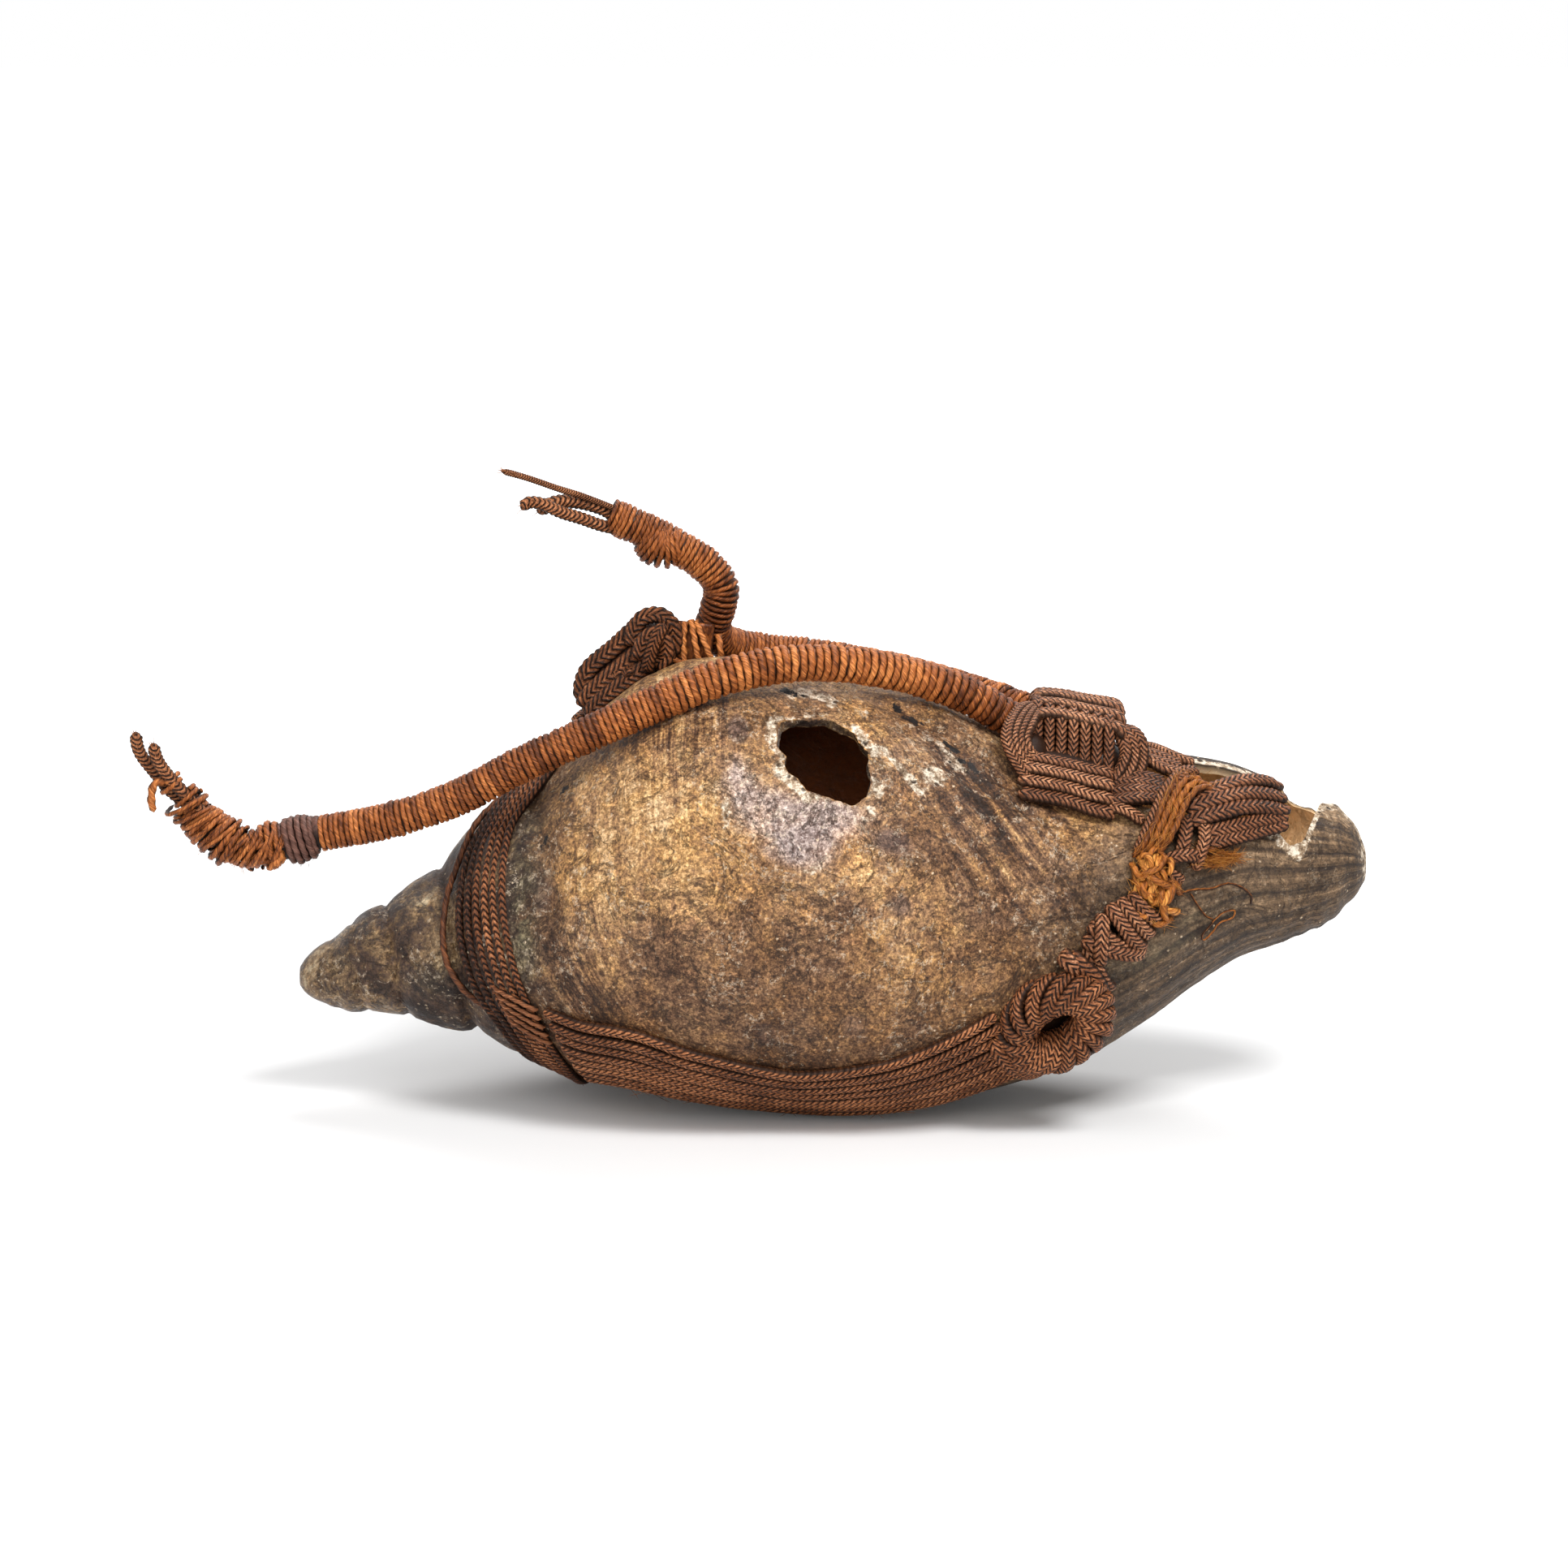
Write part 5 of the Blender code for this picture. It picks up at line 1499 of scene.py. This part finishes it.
CLIMBING = {  # name and node's last word: core, arches from one place to another, rise, width
    "low": ((97, -1, (12, 13), 4),
            [((83, -2), (92.5, -9), 8.6, 6.4), ((91, 2), (112, -10.5), 7.4, 5.6),
             ((92, -1.5), (100, -19.5), 5.4, 5.8), ((93.5, 6.5), (107.5, -7.5), 6.6, 5.8),
             ((97, 8.5), (96, -7), 8, 5.6)]),
    "high": ((108, 2, (10, 12), 4),
             [((100.0 + 3.9 * k, 11.0 + 0.8 * k), (111.5 + 3.0 * k, -8.0 + 3.6 * k), 7.6 - 0.5 * k, 5.4)
              for k in range(3)] + [((104, -2), (113.5, 9), 4.8, 5)]),
}


def build_climbing_lashings():
    """Sennit crossings that climb from the belly knot to the coir tie."""
    for where, (core, arches) in CLIMBING.items():
        batch = Batch()
        core_lump(batch, *core)
        for arch in arches:
            sennit_arch(batch, *arch)
        finish_piece(batch, f"climbing_lashing_{where}", "brown_sennit", f"belly_lashing_{where}")


COIR_STROKES = (  # from one (x, turn) place to another, rise
    ((108, 26), (112, 10), 6.5), ((109.5, 29), (118, 6), 8.2),
    ((107.5, 18), (121, 20), 8.8), ((108, 12), (119, 28), 7.4),
    ((111, 6), (123, -2), 6.4), ((114, 14), (125.5, -1), 7),
    ((120, 14), (126, 6), 5.6), ((110, 22), (124, 10), 9.4),
    ((107, 15), (116, 2), 5), ((117, 20), (121, -4), 7.6),
)


def build_coir_strap():
    """The golden coir strap that runs from its knot up to the lip."""
    batch = Batch()
    for k in range(4):
        lag = 2.5 * k
        line = shell_line([(108.0 + 0.8 * lag, 27.0 - 0.6 * k, 4.4), (112.4 + lag, 30.6 - 0.8 * k, 6.8),
                           (117.0 + lag, 38.0 - 1.0 * k, 8.0 + 0.7 * (k % 2)),
                           (121.2 + lag, 47.6 - 1.2 * k, 8.2), (126.6 + lag, 57.0 - 2.4 * k, 7.6),
                           (132.6 + lag, 59.5 - 3.4 * k, 5.2)])
        twine(batch, line, 1.35, 1.35, sides=10, plies=5, taper=2, shade=RNG.uniform(-1.3, -0.4))
        add_fibres(batch, line, 40, 8, 1.2, seed=60 + k)
    finish_piece(batch, "coir_strap", "golden_coir", "coir_tie_strap")


def build_coir_knot():
    """The frayed coir knot: crossing strokes with loose loops over them."""
    batch = Batch()
    core_lump(batch, 116.5, 14, (15, 20), 6, tilt=-20)
    for n, ((xa, ta), (xb, tb), rise) in enumerate(COIR_STROKES):
        bow = RNG.uniform(-2.0, 2.0)
        line = shell_line([(xa, ta, 1.2), (0.75 * xa + 0.25 * xb, 0.75 * ta + 0.25 * tb + bow, 0.8 * rise),
                           (0.5 * (xa + xb), 0.5 * (ta + tb) + 1.6 * bow, rise),
                           (0.25 * xa + 0.75 * xb, 0.25 * ta + 0.75 * tb + bow, 0.8 * rise),
                           (xb, tb, 1.2)])
        twine(batch, line, 1.45, 1.2, sides=8, plies=8, taper=1.5, shade=RNG.uniform(-0.8, 0.3))
        add_fibres(batch, line, 26, 7, 1.1, seed=70 + n)
    for _ in range(9):
        x, turn = 115.5 + RNG.uniform(-4, 4), 14.5 + RNG.uniform(-9, 10)
        size, spin, rise = RNG.uniform(2.6, 4.6), RNG.uniform(0, 6.3), RNG.uniform(5.5, 9.0)
        line = shell_line([(x + size * math.cos(spin + a), turn + 1.3 * size * math.sin(spin + a),
                            rise + 1.5 * math.sin(2 * a)) for a in np.linspace(0.0, 5.4, 8)],
                          step=FINE_STEP)
        twine(batch, line, 1.25, 1.1, sides=8, plies=6, taper=1.5, shade=RNG.uniform(-0.9, 0.3))
    finish_piece(batch, "coir_knot", "golden_coir", "coir_tie_knot")


LIP_STARTS = ((131.5, 48), (128.5, 42), (129.5, 36))
LIP_ENDS = ((161, 66.5), (162, 55.5), (162.5, 46))
LIP_POSTS = (  # width, points
    (5.4, ((125.5, 20.5, 1.6), (126.6, 25, 4.2), (127.8, 32, 4.8), (128.4, 39, 3))),
    (5, ((131, 14.5, 1.2), (132.6, 19, 3.8), (134.6, 27, 4.8), (134.6, 35, 3.6))),
    (4.8, ((118.5, 22, 3), (123.5, 22.4, 5.6), (129, 21.2, 5.6), (133, 19.5, 2.6))),
    (4.6, ((118.5, 17, 2.4), (122.5, 15.5, 4.8), (126.5, 11.5, 1.8))),
    (5.2, ((110.5, 29, 1.6), (113.5, 34.5, 4.4), (117.5, 42.5, 6), (122.5, 52, 7.2),
           (128.5, 60, 6.4), (133.5, 63, 4))),
    (4.6, ((111, 93, 3), (117.5, 84, 4.8), (124.5, 74, 5.2), (132.5, 68, 4.4))),
    (4.8, ((111, 76, 3.4), (116.5, 70, 5), (122.5, 63.5, 5.2), (131, 61, 4.6))),
    (4.8, ((99.5, 50.5, 1.8), (103.5, 48, 3.6), (108, 45, 3.8), (113, 41, 1.8))),
    (4.6, ((104.5, 57, 1.8), (109, 53, 3.4), (113.5, 49, 3.2))),
)
THREAD = ((124.5, 6.6, 1), (130.5, 5.6, 1.4), (137.4, 3.4, 2.6), (143.5, 3.4, 4),
          (149, -1, 4.2), (152.3, -7, 3.2), (152.6, -12.5, 1.6))
CURL = ((129.5, 4.5, 0.8), (132.5, -3, 0.9), (135.6, -10, 0.9), (138.4, -14.5, 1),
        (134.6, -19, 1.2), (135.4, -23.4, 0.9), (138.6, -21, 0.9), (141, -17.5, 1.1),
        (145.8, -18, 1.3), (146.4, -14, 1), (142, -12, 1.6), (138, -14, 2))


def build_lip_sennits():
    """Three sennits round the end of the outer lip and two lower ones."""
    for n, ((xa, ta), (xb, tb)) in enumerate(zip(LIP_STARTS, LIP_ENDS)):
        batch = Batch()
        sennit_over(batch, [(xa, ta, 2.4), (xa + 4, ta + 1, 4.8),
                            (0.6 * xa + 0.4 * xb, 0.75 * ta + 0.25 * tb, 6),
                            (0.3 * xa + 0.7 * xb, 0.42 * ta + 0.58 * tb, 5.8),
                            (xb - 1.5, tb - 1, 4.6), (xb + 1.6, tb + 2, 3),
                            (xb + 2.4, tb + 6, 0.8)], wide=6.4, thick=4.2, shade=-0.12 - 0.12 * n)
        finish_piece(batch, f"lip_sennit_{n + 1}", "brown_sennit", f"lip_lashing_{n + 1}")
    for n in range(2):
        batch = Batch()
        turn = 29.6 - 5.4 * n
        sennit_over(batch, [(135.5, turn - 0.5, 1.6), (139, turn + 0.6, 3.6 - 0.5 * n),
                            (150, turn + 2.6, 4.6 - 0.6 * n), (159, turn + 8.4, 4.2 - 0.6 * n),
                            (163.4, turn + 12.2, 3), (165, turn + 15.4, 1.4)], shade=-0.25)
        finish_piece(batch, f"lip_low_sennit_{n + 1}", "brown_sennit", f"lip_lashing_low_{n + 1}")


def build_lip_posts():
    """The sennits that tie the lip lashings to the block and the coir knot."""
    batch = Batch()
    for wide, points in LIP_POSTS:
        sennit_over(batch, points, wide=wide)
    for k in range(4):
        sennit_over(batch, [(101, 66.0 - 4.6 * k, 2.6), (107.5, 63.5 - 4.4 * k, 4.4 + 0.4 * k),
                            (114.5, 60.5 - 3.6 * k, 5), (121.5, 58.0 - 3.0 * k, 3.6)],
                    wide=5, shade=-0.6)
    for k in range(2):
        sennit_over(batch, [(103, 84.0 - 5.0 * k, 5), (110, 80.5 - 5.0 * k, 5.6),
                            (119, 74.0 - 4.4 * k, 5.4), (128, 67.5 - 3.0 * k, 4.4)], wide=5)
    finish_piece(batch, "lip_posts", "brown_sennit", "lip_post_1")


def build_tuft_and_threads():
    """The fibre tuft by the lip, the loose thread and the thin curled one on the shell."""
    batch = Batch()
    for n in range(14):
        x, turn = 138.5 + RNG.uniform(-5, 6), 18.5 + RNG.uniform(-4.5, 4.0)
        line = shell_line([(x - 3, turn + 2, 0.8), (x, turn, 3.2), (x + 3, turn - 1.5, 4.4),
                           (x + 5, turn, 1.6)])
        twine(batch, line, 0.6, 0.5, sides=5, taper=2, shade=RNG.uniform(-0.9, -0.2))
        add_fibres(batch, line, 44, 7, 0.6, seed=80 + n)
    finish_piece(batch, "coir_tuft", "golden_coir", "fibre_tuft")

    batch = Batch()
    line = shell_line(THREAD, step=FINE_STEP)[:, :3]
    twine(batch, line, 0.5, 0.5, sides=6, plies=3, shade=-0.6)
    piece = finish_piece(batch, "loose_thread_fibre", "golden_coir", "loose_thread")
    batch = Batch()
    twine(batch, shell_line(CURL, step=FINE_STEP)[:, :3], 0.4, 0.4, sides=5, plies=3, shade=-0.6)
    curl = batch.build("curled_thread", FINISH["golden_coir"])


FREE_OUT = np.array((0, -0.9, 0.45))
# Plain cords behind the rear knot's sennits, near black as painted shade, and the sennits: width, shade,
# points; mm.
REAR_SHADE_CORDS = (((-90, 24, 150.5), (-85.4, 24, 158.6), (-78, 24, 164.4), (-71.6, 24, 170.2)),
             ((-69, 24, 166), (-65, 25, 173), (-61.5, 25, 166), (-64, 25, 160.5)),
             ((-70, 24, 165), (-66.6, 24, 172.4), (-62, 24, 168)),
             ((-71, 22, 161), (-64, 22, 160), (-56, 24, 159)))
REAR_SENNITS = (
    (7, -0.5, ((-91, 24, 146), (-92.6, 22, 151.5), (-89.8, 22, 159), (-81, 22, 166.6),
                 (-74, 22, 173), (-70.4, 22, 176.4))),
    (7, -0.2, ((-91.6, 18, 144.5), (-90.2, 18, 149.4), (-83.6, 18, 155.8), (-76.3, 18, 161.4),
                 (-69.2, 18, 167.4))),
    (6.6, -0.4, ((-90.8, 14, 142), (-85.6, 14, 148.2), (-79, 14, 153.4), (-72.6, 14, 158.2),
                 (-66.1, 14, 163))),
    (6.4, -0.4, ((-73.6, 20, 167.5), (-73.2, 20, 173.5), (-69.4, 20, 178.6), (-63.4, 20, 179.4),
                 (-58.9, 20, 175), (-58.6, 20, 167.7), (-62.4, 20, 161.8))),
    (6, -0.2, ((-71.4, 14, 163.5), (-69.6, 14, 170.4), (-65.4, 14, 173.6), (-61.6, 14, 170.6),
                 (-61.4, 14, 164.4), (-65, 14, 160.6))),
    (5, -0.2, ((-61.6, 12, 177.6), (-64.2, 10, 173), (-66.6, 10, 166.6), (-68.2, 11, 160))),
)
REAR_TWINE = (
    ((-58.6, 22, 173.6), (-58.8, 20, 168.7), (-59.4, 20, 160.5)),
    ((-54.2, 24, 176.2), (-54.9, 21, 170.1), (-54.4, 20, 160.5)),
    ((-52, 26, 176.6), (-50.8, 22, 170.1), (-48.9, 21, 160.5)),
    ((-50.4, 27, 176), (-47.6, 23, 170.1), (-43.7, 22, 160.5)),
    ((-60.8, 20, 163.4), (-54.6, 18, 161.8), (-47.6, 20, 162)),
    ((-41.8, 24, 171.4), (-41.2, 21, 167), (-40.6, 22, 161)),
)
# A flat dark sheet behind the rear twine, painted as the shade there.
SHADE_SHEET = ((-52.5, 27, 158), (-52.5, 27, 166), (-51.5, 28, 175.5))


def cover_knot_back(batch, x, turn, tilt):
    """Sennits side by side over the back of the knot, and two that cross them where the spire
    band runs in."""
    radius = float(section(x * MM)[1]) / MM
    c, s = math.cos(math.radians(tilt)), math.sin(math.radians(tilt))

    def place(u, v, extra):
        """The place at u across and v along the knot, extra above its rounded back."""
        height = 9.5 * max(1.0 - (u / 17.0) ** 2, 0.1) * max(1.0 - (v / 26.0) ** 2, 0.1)
        return x + u * c - v * s, turn + math.degrees((u * s + v * c) / radius), height + extra

    for row in range(6):
        u = 4.6 * (row - 2.5)
        sennit_over(batch, [place(u, v, 1.2) for v in (-12, -6, 1, 8, 15, 21)], wide=5.2, thick=4.2,
                    shade=0.1 - 0.25 * (row % 2))
    for v in (13, 18.4):
        sennit_over(batch, [place(u, v, 4.4) for u in (-15, -9, 0, 9, 15)], wide=5.4, thick=4,
                    shade=0)


def build_rear_knot():
    """The knot behind the shoulder: parallel sennits that run up into a looped head."""
    batch = Batch()
    core_lump(batch, -79, 112, (24, 30), 7, tilt=-34)
    for route in REAR_SHADE_CORDS:
        # Painted shade: these plain cords are near black (shade -0.9, lift 0).
        add_core(batch, route, 4, 2.4, up=FREE_OUT, sides=10, shade=-0.9, lift=0)
    for wide, shade, points in REAR_SENNITS:
        sennit_free(batch, points, wide, shade)
    cover_knot_back(batch, -79, 112, -34)
    finish_piece(batch, "rear_sennits", "dark_sennit", "rear_knot")


def build_rear_twine():
    """The thin twine that ties the knot to the rear rope, and its winding on the rope."""
    batch = Batch()
    # Painted shade: the wide flat dark sheet behind the twine.
    add_core(batch, SHADE_SHEET, 8.4, 1.6, up=(0, -1, 0.2), sides=12, shade=-0.8, lift=0.5)
    for route in REAR_TWINE:
        twine(batch, curve_through(metres(route), step=FINE_STEP), 1.25, 1, up=(0, -1, 0.3),
              plies=4, shade=RNG.uniform(-0.2, 0.3))
    wind(batch, ((-56, 28.5, 204.5), (-62.6, 28.5, 204), (-70, 28.5, 208.5)),
         (5.6, 7.5, 8, 5.6), 8.5, 1.05, 0.9, shade=-0.5, wobble=0.02, seed=17)
    finish_piece(batch, "rear_twine", "wrapped_rope", "rear_lashing")


# ---------------------------------------------------------------- make everything
build_handle()
build_spire_band()
build_belly_band()
build_block_knot()
build_belly_knot()
build_climbing_lashings()
build_coir_strap()
build_coir_knot()
build_lip_sennits()
build_lip_posts()
build_tuft_and_threads()
build_rear_knot()
build_rear_twine()
shell = build_shell(FINISH["shell"])
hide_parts("shell")
